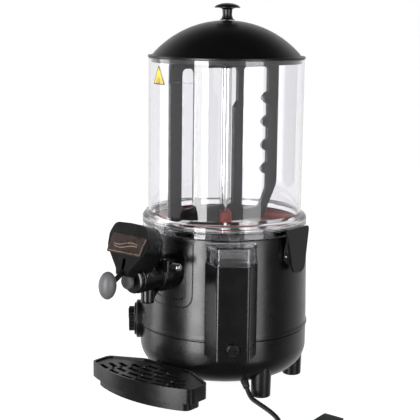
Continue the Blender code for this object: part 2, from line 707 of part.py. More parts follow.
def make_dial():
    centre, turn = at(DIAL_AZIMUTH, 0, DIAL_HEIGHT), radial(DIAL_AZIMUTH)
    profile = [(21, 139), (24.5, 139), (25.5, 138), (25.5, 136), (29, 135.4), (29.7, 134.4), (29.7, 124),
               (5, 124), (5, 135), (21, 135)]
    fit_to_body(turned("dial_bezel", profile, "black_satin", centre, turn, 20))
    knob = turned("dial_knob", [(0, 147.5), (18, 147.5), (19.3, 146.2), (19.3, 136.5), (17.5, 135.3), (3.2, 135.3),
                                (3.2, 119.3), (0, 119.3)], "black_satin", centre, turn, 20)
    marker = box("dial_marker", (2.2, 15, 1.6), "steel", at(DIAL_AZIMUTH, 147.4, DIAL_HEIGHT + 9), turn)
    return join(knob, marker)


def make_switch():
    centre, turn = at(SWITCH_AZIMUTH, 0, SWITCH_HEIGHT), radial(SWITCH_AZIMUTH)
    frame = box("switch_frame", (23, 30, 8), "black_satin", centre + at(SWITCH_AZIMUTH, 128.2), turn, 0.8)
    fit_to_body(frame)
    join(frame, box("switch_body", (18.8, 24.8, 26), "steel", centre + at(SWITCH_AZIMUTH, 117), turn))
    cut(frame, box("switch_pocket", (14, 21, 30), "steel", centre + at(SWITCH_AZIMUTH, 135), turn))
    rocker = box("switch_rocker", (13, 19.5, 6), "grey_plastic", centre + at(SWITCH_AZIMUTH, 129.5),
                 (90.0 + 8.0, 0.0, SWITCH_AZIMUTH), 0.8)
    return rocker


# --- latches -------------------------------------------------------------------------

def make_latch(side, sign):
    """One tank latch: a tongue that stands off the body and turns on a pin."""
    azimuth = 90.0 * sign
    face = rounded([(-27, 252, 5), (-17, 196, 0), (-15.5, 189, 7), (15.5, 189, 7), (17, 196, 0), (27, 252, 5),
                    (25, 256, 3), (-25, 256, 3)], 3)
    tongue = flat("latch_" + side, [face], 3.2, "black_satin", at(azimuth, LATCH_REACH - 1.6), radial(azimuth))
    for i, edge in enumerate((-1, 1)):
        cheek = sideways(f"cheek_{side}_{i}", [rounded([(127.9, 220, 0), (127.9, 208, 3), (138, 203, 0), (138, 250, 0),
                                                        (134, 250, 0)])], 2.2, "steel", azimuth, edge * 18.4)
        join(tongue, cheek)
    lip = box(f"latch_lip_{side}", (44, 10, 3), "steel", at(azimuth, 133.2, 254), (0, 0, azimuth), 0.6)
    join(tongue, lip)
    pin_place = at(azimuth, LATCH_PIN_REACH, LATCH_PIN_HEIGHT)
    cut(tongue, cylinder(f"latch_bore_{side}", 2.3, 60, "steel", pin_place, (90, 0, 0), 12))
    cylinder("latch_pin_" + side, 2.0, 40.4, "steel", pin_place, (90, 0, 0), 12)


# --- tap -----------------------------------------------------------------------------

def forward(reach, height, x=0.0):
    return Vector((x, -reach, height))


def tap_rod(name, radius, start, end, material, height=TAP_AXIS, x=0.0, steps=24):
    """A cylinder along the tap's axis between two reaches."""
    return cylinder(name, radius, end - start, material, forward((start + end) / 2, height, x), radial(0), steps)


def make_tap_body():
    barrel = tap_rod("tap_barrel", BARREL_RADIUS, BARREL_START, BARREL_END, "black_gloss", steps=24)
    profile = [(0, TAP_AXIS - 12), (9.5, TAP_AXIS - 12), (9.3, NOZZLE_BOTTOM + 2), (8.8, NOZZLE_BOTTOM),
               (0, NOZZLE_BOTTOM)]
    join(barrel, turned("tap_nozzle", profile, "steel", forward(NOZZLE_REACH, 0), steps=16))
    cut(barrel, tap_rod("tap_bore", BARREL_BORE, BARREL_START - 5, BARREL_END + 5, "steel", steps=20))
    cut(barrel, cylinder("nozzle_port", 6.5, 40, "steel", forward(NOZZLE_REACH, TAP_AXIS - 22), steps=16))
    cap = tap_rod("tap_cap", BARREL_RADIUS - 1, BARREL_END + GAP, BARREL_END + 8, "black_satin", steps=20)
    return cut(cap, tap_rod("cap_bore", 5.4, BARREL_END - 5, BARREL_END + 15, "steel", steps=16))


def make_piston():
    """The sliding valve: a plug over the nozzle's port, its rod and the head that the lever pulls."""
    profile = [(0, 220.5), (9, 220.5), (10.5, 219), (10.5, 215), (5.0, 215), (5.0, 170), (10.8, 170), (10.8, 184),
               (13.6, 184), (13.6, 171.4), (12.3, 171.4), (12.3, 168.6), (13.6, 168.6), (13.6, 166), (0, 166)]
    turned("tap_piston", profile, "grey_plastic", forward(0, TAP_AXIS), radial(0), 20)
    seal = [(13.65, 171.0), (13.65, 169.0), (12.6, 169.0), (12.6, 171.0)]
    turned("piston_seal", seal, "silicone", forward(0, TAP_AXIS), radial(0), 20)


def make_spring():
    """The return spring at its pressed length, coiled round the piston's rod inside the barrel."""
    turns, per_turn, start, end = 3, 10, 185.2, 199.0
    coil = 8.0
    count = turns * per_turn
    path = []
    for i in range(count + 1):
        angle = 2 * math.pi * i / per_turn
        reach = start + (end - start) * i / count
        path.append(forward(reach, TAP_AXIS + coil * math.sin(angle), coil * math.cos(angle)))
    return tube("tap_spring", path, 0.7, "steel", sides=1)


def shield_outline(inset):
    """The shield in its own leaning plane: X across, Y up from its lower edge."""
    return rounded([(-11 + inset, -4 if inset else 0, 0), (11 - inset, -4 if inset else 0, 0), (14 - inset, 10, 4),
                    (36.5 - inset, 38, 8), (37.5 - inset, 50, 8), (33 - inset, 70 - inset, 12), (0, 74 - inset, 20),
                    (-33 + inset, 70 - inset, 12), (-37.5 + inset, 50, 8), (-36.5 + inset, 38, 8),
                    (-14 + inset, 10, 4)], 3)


def leaning(name, loops, near, far, material):
    """A plate parallel to the shield's face, between two depths behind it."""
    plate = flat(name, loops, far - near, material)
    middle = Matrix.Translation((0, 0, -(near + far) / 2 * MM))
    lean = Matrix.Rotation(math.radians(90.0 - SHIELD_LEAN), 4, "X")
    plate.data.transform(Matrix.Translation(forward(SHIELD_FOOT, SHIELD_BOTTOM) * MM) @ lean @ middle)
    return plate


def make_shield():
    shield = leaning("tap_shield", [shield_outline(0)], 0, 3, "black_gloss")
    slot = rounded([(-2.8, -6, 0), (2.8, -6, 0), (2.8, 24, 2.5), (-2.8, 24, 2.5)])
    cut(shield, leaning("lever_slot", [slot], -5, 10, "steel"))
    badge = rounded([(-36, 29, 2), (28, 29, 2), (36, 56, 2), (-30, 57, 2)])
    return leaning("tap_badge", [badge], -1.2, -GAP, "badge_brown")


def make_hood():
    hood = leaning("tap_hood", [shield_outline(0)], 3 + GAP, 52, "black_gloss")
    cut(hood, box("hood_back", (120, 60, 160), "steel", forward(154, 240)))
    inner = leaning("hood_inner", [shield_outline(3)], 0, 60, "steel")
    cut(inner, box("hood_inner_back", (120, 60, 160), "steel", forward(157, 240)))
    cut(hood, inner)
    cut(hood, tap_rod("hood_barrel", BARREL_RADIUS + GAP, 150, BARREL_END + 9, "steel", steps=24))
    pin_hole = cylinder("hood_pin_hole", 2.3, 80, "steel", forward(*LEVER_PIVOT), (0, 90, 0), 12)
    return cut(hood, pin_hole, tap_rod("head_room", 14, 205, 260, "steel"))


def make_lever():
    pivot_y, pivot_z = LEVER_PIVOT
    knob_y, knob_z = LEVER_KNOB
    outline = rounded([(pivot_y - 4.5, pivot_z + 4.5, 3), (pivot_y - 4.5, pivot_z - 4.5, 3), (209.6, 212.2, 0),
                       (211.1, 206, 0), (214.1, 205.5, 0), (224, 203.5, 0), (knob_y - 9, knob_z - 1.6, 0),
                       (knob_y - 9, knob_z + 4.4, 0), (pivot_y + 6, pivot_z + 4.5, 3)])
    lever = sideways("tap_lever", [outline], 4, "black_satin")
    join(lever, box("fork_bridge", (17.6, 3, 5), "steel", forward(212.6, 207.4)))
    for side in (-1, 1):
        join(lever, box(f"fork_tine_{side + 1}", (2.6, 3, 23), "steel", forward(212.6, 195.5, side * 7.5)))
    cut(lever, cylinder("lever_bore", 2.3, 20, "steel", forward(*LEVER_PIVOT), (0, 90, 0), 12))
    set_origin(lever, forward(*LEVER_PIVOT))
    cylinder("tap_pivot_pin", 2.0, 40, "steel", forward(*LEVER_PIVOT), (0, 90, 0), 12)
    knob = ellipsoid("tap_knob", KNOB_SIZE, "grey_plastic", forward(*LEVER_KNOB))
    return cut(knob, box("knob_socket", (4.6, 14, 9), "steel", forward(knob_y - 13, knob_z + 1.4)))


def make_tap_mount():
    ring = tap_rod("tap_mount", 26, BARREL_START + 2, 162, "black_gloss", steps=24)
    join(ring, box("pin_lug", (15, 15, 18), "steel", forward(154.5, 207, 20), (0, 0, 0), 1.5))
    fit_to_body(ring)
    cut(ring, tap_rod("mount_bore", BARREL_RADIUS + GAP, BARREL_START - 5, 170, "steel", steps=24))
    cut(ring, cylinder("pin_bore", 4.5, 24, "steel", forward(154.5, 207, 27), (0, 90, 0), 16))
    pin = turned("tap_lock_pin", [(0, 45), (4, 44), (6, 41.5), (6, 28), (4.2, 28), (4.2, 16.8), (0, 16.8)], "steel",
                 forward(154.5, 207), (0, 90, 0), 14)
    return pin


# --- drip tray -----------------------------------------------------------------------

def tray_outline(inset, corner=5.0, narrower=0.0):
    """The tray's plan: a front arc round the body's axis, blunt tips and a rear edge."""
    half, radius = TRAY_HALF - inset - narrower, TRAY_RADIUS - inset
    tip = math.degrees(math.asin(half / radius))
    last = tip - 4.5
    front = [(radius * math.sin(math.radians(a)), radius * math.cos(math.radians(a)))
             for a in [last * (i / 7 - 1) for i in range(15)]]
    reach = math.sqrt(radius ** 2 - half ** 2)
    side = TRAY_SIDE + inset * 0.5
    rear, rear_half = TRAY_REAR + inset, TRAY_REAR_HALF - inset * 0.3
    corners = [(-half, reach, corner * 2)] + [(x, y, 0) for x, y in front] + [
        (half, reach, corner * 2), (half, side, corner * 2), (rear_half, rear, corner * 2),
        (-rear_half, rear, corner * 2), (-half, side, corner * 2)]
    return rounded(corners, 3)


def make_tray():
    tray = upright("drip_tray", [tray_outline(0)], TRAY_BAND_BOTTOM, TRAY_TOP, "black_gloss")
    join(tray, upright("tray_step", [tray_outline(TRAY_STEP_INSET, 5.0, TRAY_STEP_NARROWER)], TRAY_BOTTOM,
                       TRAY_BAND_BOTTOM + 1, "steel"))
    cut(tray, upright("tray_ledge", [tray_outline(3)], 42.5, TRAY_TOP + 5, "steel"))
    cut(tray, upright("tray_well", [tray_outline(7)], TRAY_BAND_BOTTOM + 2.5, TRAY_TOP + 5, "steel"))
    cut(tray, upright("tray_sump", [tray_outline(TRAY_STEP_INSET + 3, 5.0, TRAY_STEP_NARROWER)], TRAY_BOTTOM + 2.5,
                      TRAY_TOP, "steel"))
    return cut(tray, box("tongue_slot", (57, 20, 6), "steel", forward(TRAY_REAR + 3, 36)))


def grille_slots():
    """Rows of slots that follow the tray's front edge."""
    loops = []
    for row in range(5):
        radius = 206.0 - row * 14.0
        spread = (24.0, 24.0, 22.5, 17.0, 10.0)[row]
        count = (6, 6, 5, 4, 2)[row]
        pitch = 2 * spread / count
        for slot in range(count):
            left = -spread + pitch * slot + 0.9
            right = left + pitch - 1.8
            corners = [(radius + 3.4, left), (radius + 3.4, right), (radius - 3.4, right), (radius - 3.4, left)]
            loops.append([(r * math.sin(math.radians(a)), r * math.cos(math.radians(a))) for r, a in corners])
    return loops


def make_grille():
    return upright("drip_grille", [tray_outline(3.6, 4.0)] + grille_slots(), 42.8, 45.8, "black_satin")


def make_tray_bracket():
    bracket = box("tray_bracket", (60, 30, 20), "black_satin", forward(111.7, 36), (0, 0, 0), 1.5)
    fit_to_body(bracket)
    return join(bracket, box("bracket_tongue", (54, 10, 4), "steel", forward(129, 36), (0, 0, 0), 0.8))


# --- cord -----------------------------------------------------------------------------

def smooth_route(points, spacing):
    """Points at about the same spacing on a smooth curve through the given points."""
    route = []
    for i in range(len(points) - 1):
        p0 = points[max(i - 1, 0)]
        p1, p2 = points[i], points[i + 1]
        p3 = points[min(i + 2, len(points) - 1)]
        steps = max(2, round((p2 - p1).length / spacing))
        for step in range(steps):
            t = step / steps
            bend = (2 * p0 - 5 * p1 + 4 * p2 - p3) * t ** 2 + (3 * p1 - p0 - 3 * p2 + p3) * t ** 3
            route.append((2 * p1 + (p2 - p0) * t + bend) / 2)
    return route + [points[-1]]


def cord_route():
    """Straight out of the strain relief, down to the table, outwards, and in at the coil's foot."""
    rest = CORD_RADIUS + 0.1
    drop = math.radians(CORD_DROP_ANGLE)
    level = Vector(at(CORD_HEADING, 1.0))
    start = Vector(at(GLAND_AZIMUTH, GLAND_REACH, GLAND_HEIGHT))
    straight = (GLAND_HEIGHT - rest - CORD_BEND * (1 - math.cos(drop))) / math.sin(drop)
    points = []
    for along in (GLAND_END + GAP, straight):
        points.append(start + level * along * math.cos(drop) - Vector((0, 0, along * math.sin(drop))))
    for share in (0.67, 0.33, 0.0):
        angle = drop * share
        onward = CORD_BEND * (math.sin(drop) - math.sin(angle))
        fall = CORD_BEND * (math.cos(angle) - math.cos(drop))
        points.append(points[1] + level * onward - Vector((0, 0, fall)))
    for x, y in ((154, -80), (179, -95), (197, -115), (206, -140), (209, -167)):
        points.append(Vector((x, y, rest)))
    return smooth_route(points, 14.0)


def make_strain_relief():
    profile = [(3.9, GLAND_END), (4.8, GLAND_END), (5.2, 7.0), (5.7, 6.5), (5.7, 3.0), (6.2, 2.5), (6.2, -9), (3.9, -9)]
    place = at(GLAND_AZIMUTH, GLAND_REACH, GLAND_HEIGHT)
    return turned("strain_relief", profile, "rubber", place, gland_turn(), steps=16)


def make_cord():
    tube("power_cord", cord_route(), CORD_RADIUS, "rubber")
    middle = (COIL_INNER + COIL_OUTER) / 2
    half = (COIL_OUTER - COIL_INNER) / 2
    ring = [(middle + half * math.cos(t), COIL_HEIGHT / 2 + (COIL_HEIGHT / 2 - 0.1) * math.sin(t))
            for t in [math.pi / 2 - math.pi / 4 * i for i in range(8)]]
    turned("cord_coil", ring, "rubber", (*COIL_CENTRE, 0.2), steps=24)
    plug_height = COIL_HEIGHT + 2 * GAP + PLUG_SIZE[2] / 2
    plug_place = (COIL_CENTRE[0] + 36, COIL_CENTRE[1] + 14, plug_height)
    return box("power_plug", PLUG_SIZE, "rubber", plug_place, bevel=5)


def build():
    make_shell()
    make_base()
    make_base_plate()
    for name, azimuth in FOOT_AZIMUTHS.items():
        make_foot(name, azimuth)
    make_tank()
    make_gasket()
    make_lid()
    make_lid_knob()
    make_lid_screw()
    make_stirrer()
    make_stirrer_tube()
    make_drive_shaft()
    make_shaft_seal()
    make_floor()
    make_bath()
    make_outlet_pipe()
    make_filler_pipe()
    make_element()
    make_gears()
    make_gear_plate()
    make_bush()
    make_motor()
    make_thermostat()
    make_terminal_block()
    make_column()
    make_window()
    make_level_lid()
    make_drain_plug()
    make_dial()
    make_switch()
    make_latch("right", 1)
    make_latch("left", -1)
    make_tap_body()
    make_piston()
    make_spring()
    make_shield()
    make_hood()
    make_lever()
    make_tap_mount()
    make_tray()
    make_grille()
    make_tray_bracket()
    make_strain_relief()
    make_cord()


clear_scene()
PARTS = new_collection("hot_drink_dispenser")
CUTTERS = new_collection("cutters")
ROOT = bpy.data.objects.new("dispenser", None)
PARTS.objects.link(ROOT)
ROOT.location = (0, BODY_Y * MM, 0)
CLEARANCE = clearance()
build()
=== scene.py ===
"""Looks of the hot drink dispenser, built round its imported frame.

Sizes are in millimetres from the point on the table under the body's axis, with the
front towards -Y, until a mesh is made. An azimuth is measured from the front, towards +X.
"""

import json
import math

import bmesh
import bpy
from mathutils import Matrix, Vector

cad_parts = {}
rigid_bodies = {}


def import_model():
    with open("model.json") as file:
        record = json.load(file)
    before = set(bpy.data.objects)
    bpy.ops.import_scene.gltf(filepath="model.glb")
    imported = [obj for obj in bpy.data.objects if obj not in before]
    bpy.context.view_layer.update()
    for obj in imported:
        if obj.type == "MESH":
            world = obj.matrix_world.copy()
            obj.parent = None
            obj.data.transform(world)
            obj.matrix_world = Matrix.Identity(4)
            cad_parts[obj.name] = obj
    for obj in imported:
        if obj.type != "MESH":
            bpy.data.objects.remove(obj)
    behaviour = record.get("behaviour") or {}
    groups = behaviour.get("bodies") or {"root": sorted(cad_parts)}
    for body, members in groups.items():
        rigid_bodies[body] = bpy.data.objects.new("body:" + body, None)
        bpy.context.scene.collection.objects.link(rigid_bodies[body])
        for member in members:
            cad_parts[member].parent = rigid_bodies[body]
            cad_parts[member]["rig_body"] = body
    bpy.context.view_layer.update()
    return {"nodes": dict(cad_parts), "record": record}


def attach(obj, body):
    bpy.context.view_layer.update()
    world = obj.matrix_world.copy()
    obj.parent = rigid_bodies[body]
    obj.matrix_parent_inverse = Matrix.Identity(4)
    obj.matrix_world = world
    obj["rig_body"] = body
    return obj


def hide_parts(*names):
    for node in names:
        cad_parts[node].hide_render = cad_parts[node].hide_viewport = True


MM = 0.001
BODY_Y = 68.7
SMOOTH_ANGLE = math.radians(50.0)

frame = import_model()
slot_of = {row["node"]: row["material_slot"] for row in frame["record"]["subparts"]}
scene = bpy.context.scene


# --- places ----------------------------------------------------------------------

def world(x, y, z):
    return Vector((x, y + BODY_Y, z)) * MM


def at(azimuth, reach, height=0.0):
    turn = math.radians(azimuth)
    return Vector((reach * math.sin(turn), -reach * math.cos(turn), height))


def forward(reach, height, x=0.0):
    return Vector((x, -reach, height))


def frame_of(place=(0, 0, 0), turn_x=0.0, turn_z=0.0):
    """From local millimetres to the world: turned about X, then about Z, then moved."""
    turn = Matrix.Rotation(math.radians(turn_z), 4, "Z") @ Matrix.Rotation(math.radians(turn_x), 4, "X")
    return Matrix.Translation(world(*place)) @ turn @ Matrix.Scale(MM, 4)


def radial(azimuth, reach=0.0, height=0.0, tilt=0.0):
    """Local Z points outwards at the azimuth and local X is level."""
    return frame_of(at(azimuth, reach, height), 90.0 + tilt, azimuth)


def standing(azimuth, offset=0.0):
    """Local X is the reach towards the azimuth and local Y the height."""
    return frame_of(at(azimuth + 90.0, offset), 90.0, azimuth - 90.0)


UPRIGHT = frame_of()


# --- shapes ----------------------------------------------------------------------

def arc(centre, radius, start, end, count):
    step = (end - start) / (count - 1)
    turns = [math.radians(start + step * i) for i in range(count)]
    return [(centre[0] + radius * math.cos(t), centre[1] + radius * math.sin(t)) for t in turns]


def rounded(corners, radius=0.0, steps=4):
    """Corners of (x, y) or (x, y, its own radius), each softened by a short curve."""
    points = []
    for i, corner in enumerate(corners):
        here = Vector(corner[:2])
        own = corner[2] if len(corner) > 2 else radius
        before = Vector(corners[i - 1][:2]) - here
        after = Vector(corners[(i + 1) % len(corners)][:2]) - here
        angle = before.angle(after) if before.length and after.length else math.pi
        if not own or angle > 3.1 or angle < 0.02:
            points.append(tuple(here))
            continue
        reach = min(own / math.tan(angle / 2), 0.48 * before.length, 0.48 * after.length)
        start, end = here + before.normalized() * reach, here + after.normalized() * reach
        for step in range(steps + 1):
            t = step / steps
            points.append(tuple(start * (1 - t) ** 2 + here * 2 * t * (1 - t) + end * t ** 2))
    return points


def object_of(name, mesh):
    mesh.name = name
    obj = bpy.data.objects.new(name, mesh)
    scene.collection.objects.link(obj)
    mesh.shade_smooth()
    mesh.set_sharp_from_angle(angle=SMOOTH_ANGLE)
    return obj


def settle(obj):
    """Applies an object's modifiers."""
    bpy.context.view_layer.update()
    mesh = bpy.data.meshes.new_from_object(obj.evaluated_get(bpy.context.evaluated_depsgraph_get()))
    obj.modifiers.clear()
    obj.data = mesh
    mesh.shade_smooth()
    mesh.set_sharp_from_angle(angle=SMOOTH_ANGLE)
    return obj


def lathe(name, profile, matrix=UPRIGHT, steps=96):
    """A section of (radius, height) turned about local Z. It is closed unless it starts on the axis."""
    shape = bmesh.new()
    rings = []
    for radius, height in profile:
        if radius < 1e-6:
            rings.append([shape.verts.new((0, 0, height))])
            continue
        turns = [2 * math.pi * i / steps for i in range(steps)]
        rings.append([shape.verts.new((radius * math.cos(t), radius * math.sin(t), height)) for t in turns])
    pairs = list(zip(rings, rings[1:]))
    if profile[0][0] > 1e-6:
        pairs.append((rings[-1], rings[0]))
    for low, high in pairs:
        if len(low) == len(high) == 1:
            continue
        for i in range(steps):
            j = (i + 1) % steps
            corners = (low[i % len(low)], low[j % len(low)], high[j % len(high)], high[i % len(high)])
            shape.faces.new(list(dict.fromkeys(corners)))
    bmesh.ops.transform(shape, matrix=matrix, verts=shape.verts)
    bmesh.ops.recalc_face_normals(shape, faces=shape.faces)
    mesh = bpy.data.meshes.new(name)
    shape.to_mesh(mesh)
    shape.free()
    return object_of(name, mesh)


def curve_object(name, loops, flat, cyclic=True):
    curve = bpy.data.curves.new(name, "CURVE")
    curve.dimensions = "2D" if flat else "3D"
    for loop in loops:
        spline = curve.splines.new("POLY")
        spline.points.add(len(loop) - 1)
        spline.use_cyclic_u = cyclic
        for point, place in zip(spline.points, loop):
            point.co = (*place, 0, 1) if flat else (*place, 1)
    obj = bpy.data.objects.new(name, curve)
    scene.collection.objects.link(obj)
    return obj


def closed_mesh(guide):
    bpy.context.view_layer.update()
    mesh = bpy.data.meshes.new_from_object(guide.evaluated_get(bpy.context.evaluated_depsgraph_get()))
    bpy.data.objects.remove(guide)
    shape = bmesh.new()
    shape.from_mesh(mesh)
    bmesh.ops.remove_doubles(shape, verts=shape.verts, dist=0.001)
    bmesh.ops.recalc_face_normals(shape, faces=shape.faces)
    shape.to_mesh(mesh)
    shape.free()
    return mesh


def plate(name, loops, low, high, matrix=UPRIGHT, bevel=0.6):
    """An outline with any holes, between two local heights, with its edges rounded."""
    guide = curve_object(name, loops, flat=True)
    guide.data.fill_mode = "BOTH"
    guide.data.extrude = (high - low) / 2
    obj = object_of(name, closed_mesh(guide))
    if bevel:
        edge = obj.modifiers.new("Edge", "BEVEL")
        edge.width = bevel
        edge.segments = 3
        edge.limit_method = "ANGLE"
        edge.angle_limit = SMOOTH_ANGLE
        settle(obj)
    obj.data.transform(matrix @ Matrix.Translation((0, 0, (low + high) / 2)))
    return obj


def rod(name, points, radius, cyclic=False, sides=3):
    """A round rod along points in the axis frame."""
    guide = curve_object(name, [points], flat=False, cyclic=cyclic)
    guide.data.bevel_depth = radius
    guide.data.bevel_resolution = sides
    guide.data.use_fill_caps = not cyclic
    obj = object_of(name, closed_mesh(guide))
    obj.data.transform(UPRIGHT)
    return obj


def block(name, size, matrix, bevel=0.8):
    x, y, z = (side / 2 for side in size)
    corner = min(1.2, x / 3, y / 3)
    outline = rounded([(-x, -y), (x, -y), (x, y), (-x, y)], corner)
    return plate(name, [outline], -z, z, matrix, bevel)


def combine(target, *others, operation="DIFFERENCE"):
    for other in others:
        step = target.modifiers.new("Combine", "BOOLEAN")
        step.solver = "EXACT"
        step.operation = operation
        step.object = other
    settle(target)
    for other in others:
        bpy.data.objects.remove(other)
    return target


def merge(target, *others):
    """Puts other objects' meshes into the target's, as shells of one moulding."""
    shape = bmesh.new()
    shape.from_mesh(target.data)
    for other in others:
        shape.from_mesh(other.data)
        bpy.data.objects.remove(other)
    shape.to_mesh(target.data)
    shape.free()
    target.data.shade_smooth()
    target.data.set_sharp_from_angle(angle=SMOOTH_ANGLE)
    return target


# --- materials -------------------------------------------------------------------

class Tree:
    """A material's nodes, with short calls to add and link them."""

    def __init__(self, name):
        self.material = bpy.data.materials.new(name)
        self.material.use_nodes = True
        self.nodes = self.material.node_tree.nodes
        self.links = self.material.node_tree.links
        self.shader = self.nodes["Principled BSDF"]
        self.place = self.nodes.new("ShaderNodeTexCoord").outputs["Object"]

    def set(self, **values):
        for key, value in values.items():
            self.shader.inputs[key.replace("_", " ")].default_value = value

    def noise(self, scale, detail=3.0, stretch=None):
        node = self.nodes.new("ShaderNodeTexNoise")
        node.inputs["Scale"].default_value = scale
        node.inputs["Detail"].default_value = detail
        source = self.place
        if stretch:
            mapping = self.nodes.new("ShaderNodeMapping")
            mapping.inputs["Scale"].default_value = stretch
            self.links.new(source, mapping.inputs["Vector"])
            source = mapping.outputs["Vector"]
        self.links.new(source, node.inputs["Vector"])
        return node.outputs["Fac"]

    def spread(self, source, low, high, start=0.3, end=0.7):
        node = self.nodes.new("ShaderNodeMapRange")
        self.links.new(source, node.inputs["Value"])
        for key, value in (("From Min", start), ("From Max", end), ("To Min", low), ("To Max", high)):
            node.inputs[key].default_value = value
        return node.outputs["Result"]

    def mix(self, factor, first, second):
        node = self.nodes.new("ShaderNodeMix")
        node.data_type = "RGBA"
        self.links.new(factor, node.inputs["Factor"])
        for socket, value in ((node.inputs["A"], first), (node.inputs["B"], second)):
            if isinstance(value, tuple):
                socket.default_value = (*value, 1.0)
            else:
                self.links.new(value, socket)
        return node.outputs["Result"]

    def edges(self, radius):
        """1 along sharp edges and 0 elsewhere."""
        bevel = self.nodes.new("ShaderNodeBevel")
        bevel.samples = 4
        bevel.inputs["Radius"].default_value = radius
        geometry = self.nodes.new("ShaderNodeNewGeometry")
        dot = self.nodes.new("ShaderNodeVectorMath")
        dot.operation = "DOT_PRODUCT"
        self.links.new(bevel.outputs["Normal"], dot.inputs[0])
        self.links.new(geometry.outputs["Normal"], dot.inputs[1])
        return self.spread(dot.outputs["Value"], 1.0, 0.0, 0.7, 0.98)

    def bump(self, source, strength, distance):
        node = self.nodes.new("ShaderNodeBump")
        node.inputs["Strength"].default_value = strength
        node.inputs["Distance"].default_value = distance
        self.links.new(source, node.inputs["Height"])
        self.links.new(node.outputs["Normal"], self.shader.inputs["Normal"])

    def link(self, source, socket):
        self.links.new(source, self.shader.inputs[socket])


def shade(colour, factor):
    return tuple(min(1.0, c * factor) for c in colour)


def moulded(name, colour, rough, grain=700.0, relief=0.12, edge_wear_and_sheen=0.5):
    """Moulded plastic or rubber: faint mottling, fine grain, handling marks and paler edges, which are partly
    edge wear and partly a painted highlight.
    """
    tree = Tree(name)
    cloud = tree.spread(tree.noise(14.0, 4.0), 0.0, 1.0)
    base = tree.mix(cloud, shade(colour, 0.82), shade(colour, 1.2))
    specks = tree.spread(tree.noise(2600.0, 1.0), 0.0, 0.6, 0.68, 0.8)
    base = tree.mix(specks, base, shade(colour, 2.2))
    # Sharp edges painted paler: partly edge wear, partly a painted highlight for the light that edges catch.
    wear_and_sheen_mask = tree.mix(tree.edges(0.0007), (0.0, 0.0, 0.0), (edge_wear_and_sheen, edge_wear_and_sheen, edge_wear_and_sheen))
    tree.link(tree.mix(wear_and_sheen_mask, base, shade(colour, 2.4)), "Base Color")
    marks = tree.noise(45.0, 6.0)
    tree.link(tree.spread(marks, rough - 0.02, rough + 0.04), "Roughness")
    tree.bump(tree.noise(grain, 2.0), relief, 0.0002)
    tree.set(IOR=1.5)
    return tree


def metal(name, colour, rough, stretch=(1.0, 1.0, 0.04), relief=0.05):
    """Worked metal: lines along its length, water marks and small changes of tone."""
    tree = Tree(name)
    lines = tree.noise(900.0, 3.0, stretch)
    tone = tree.mix(tree.spread(tree.noise(25.0, 5.0), 0.0, 1.0), shade(colour, 0.9), shade(colour, 1.06))
    tree.link(tree.mix(tree.spread(lines, 0.0, 0.25), tone, shade(colour, 0.7)), "Base Color")
    tree.link(tree.spread(lines, rough - 0.03, rough + 0.09), "Roughness")
    tree.bump(lines, relief, 0.0001)
    tree.set(Metallic=1.0)
    return tree


def clear(name, colour, rough):
    """Clear plastic: a trace of tint, wipe marks and a slightly wavy surface."""
    tree = Tree(name)
    tint = tree.spread(tree.noise(8.0, 2.0), 0.0, 1.0)
    tree.link(tree.mix(tint, colour, shade(colour, 0.985)), "Base Color")
    wipes = tree.noise(30.0, 5.0, (1.0, 1.0, 0.3))
    tree.link(tree.spread(wipes, rough, rough + 0.04, 0.45, 0.8), "Roughness")
    tree.bump(tree.noise(18.0, 1.0), 0.02, 0.001)
    tree.set(IOR=1.49, Transmission_Weight=1.0)
    return tree


def silicone(name, colour):
    tree = moulded(name, colour, 0.42, 1500.0, 0.08, 0.15)
    tree.set(Subsurface_Weight=0.12, Subsurface_Scale=0.003, Subsurface_Radius=(1.0, 0.25, 0.12))
    return tree


def printed(name, colour, rough):
    """A printed label: ink that varies a little and a satin film over it."""
    tree = Tree(name)
    ink = tree.spread(tree.noise(60.0, 5.0), 0.0, 1.0)
    tree.link(tree.mix(ink, shade(colour, 0.8), shade(colour, 1.25)), "Base Color")
    tree.link(tree.spread(tree.noise(120.0, 3.0), rough - 0.05, rough + 0.1), "Roughness")
    tree.bump(tree.noise(1800.0, 1.0), 0.05, 0.0001)
    tree.set(Coat_Weight=0.4, Coat_Roughness=0.15)
    return tree


MATERIALS = {
    "body_black": moulded("body_black", (0.0026, 0.0026, 0.0028), 0.26, 900.0, 0.03, 0.5),
    "trim_black": moulded("trim_black", (0.0026, 0.0026, 0.0028), 0.31, 1100.0, 0.06, 0.4),
    "knob_grey": moulded("knob_grey", (0.085, 0.085, 0.089), 0.46, 800.0, 0.16, 0.4),
    "clear_plastic": clear("clear_plastic", (0.935, 0.930, 0.950), 0.012),
    "silicone_red": silicone("silicone_red", (0.24, 0.018, 0.008)),
    "polished_steel": metal("polished_steel", (0.72, 0.72, 0.71), 0.10),
    "plated_steel": metal("plated_steel", (0.5, 0.5, 0.49), 0.32, (1.0, 1.0, 1.0), 0.1),
    "brass": metal("brass", (0.60, 0.43, 0.17), 0.30, (1.0, 1.0, 1.0), 0.1),
    "black_rubber": moulded("black_rubber", (0.007, 0.007, 0.007), 0.5, 1300.0, 0.15, 0.3),
    "badge_brown": printed("badge_brown", (0.018, 0.0080, 0.0070), 0.3),
}
WHITE_INK = printed("white_ink", (0.75, 0.75, 0.72), 0.45).material
CREAM_INK = printed("cream_ink", (0.20, 0.16, 0.10), 0.35).material
YELLOW_INK = printed("yellow_ink", (0.72, 0.52, 0.04), 0.4).material
GREY_INK = printed("grey_ink", (0.12, 0.12, 0.13), 0.5).material
TRIM = printed("black_ink", (0.012, 0.012, 0.012), 0.4).material


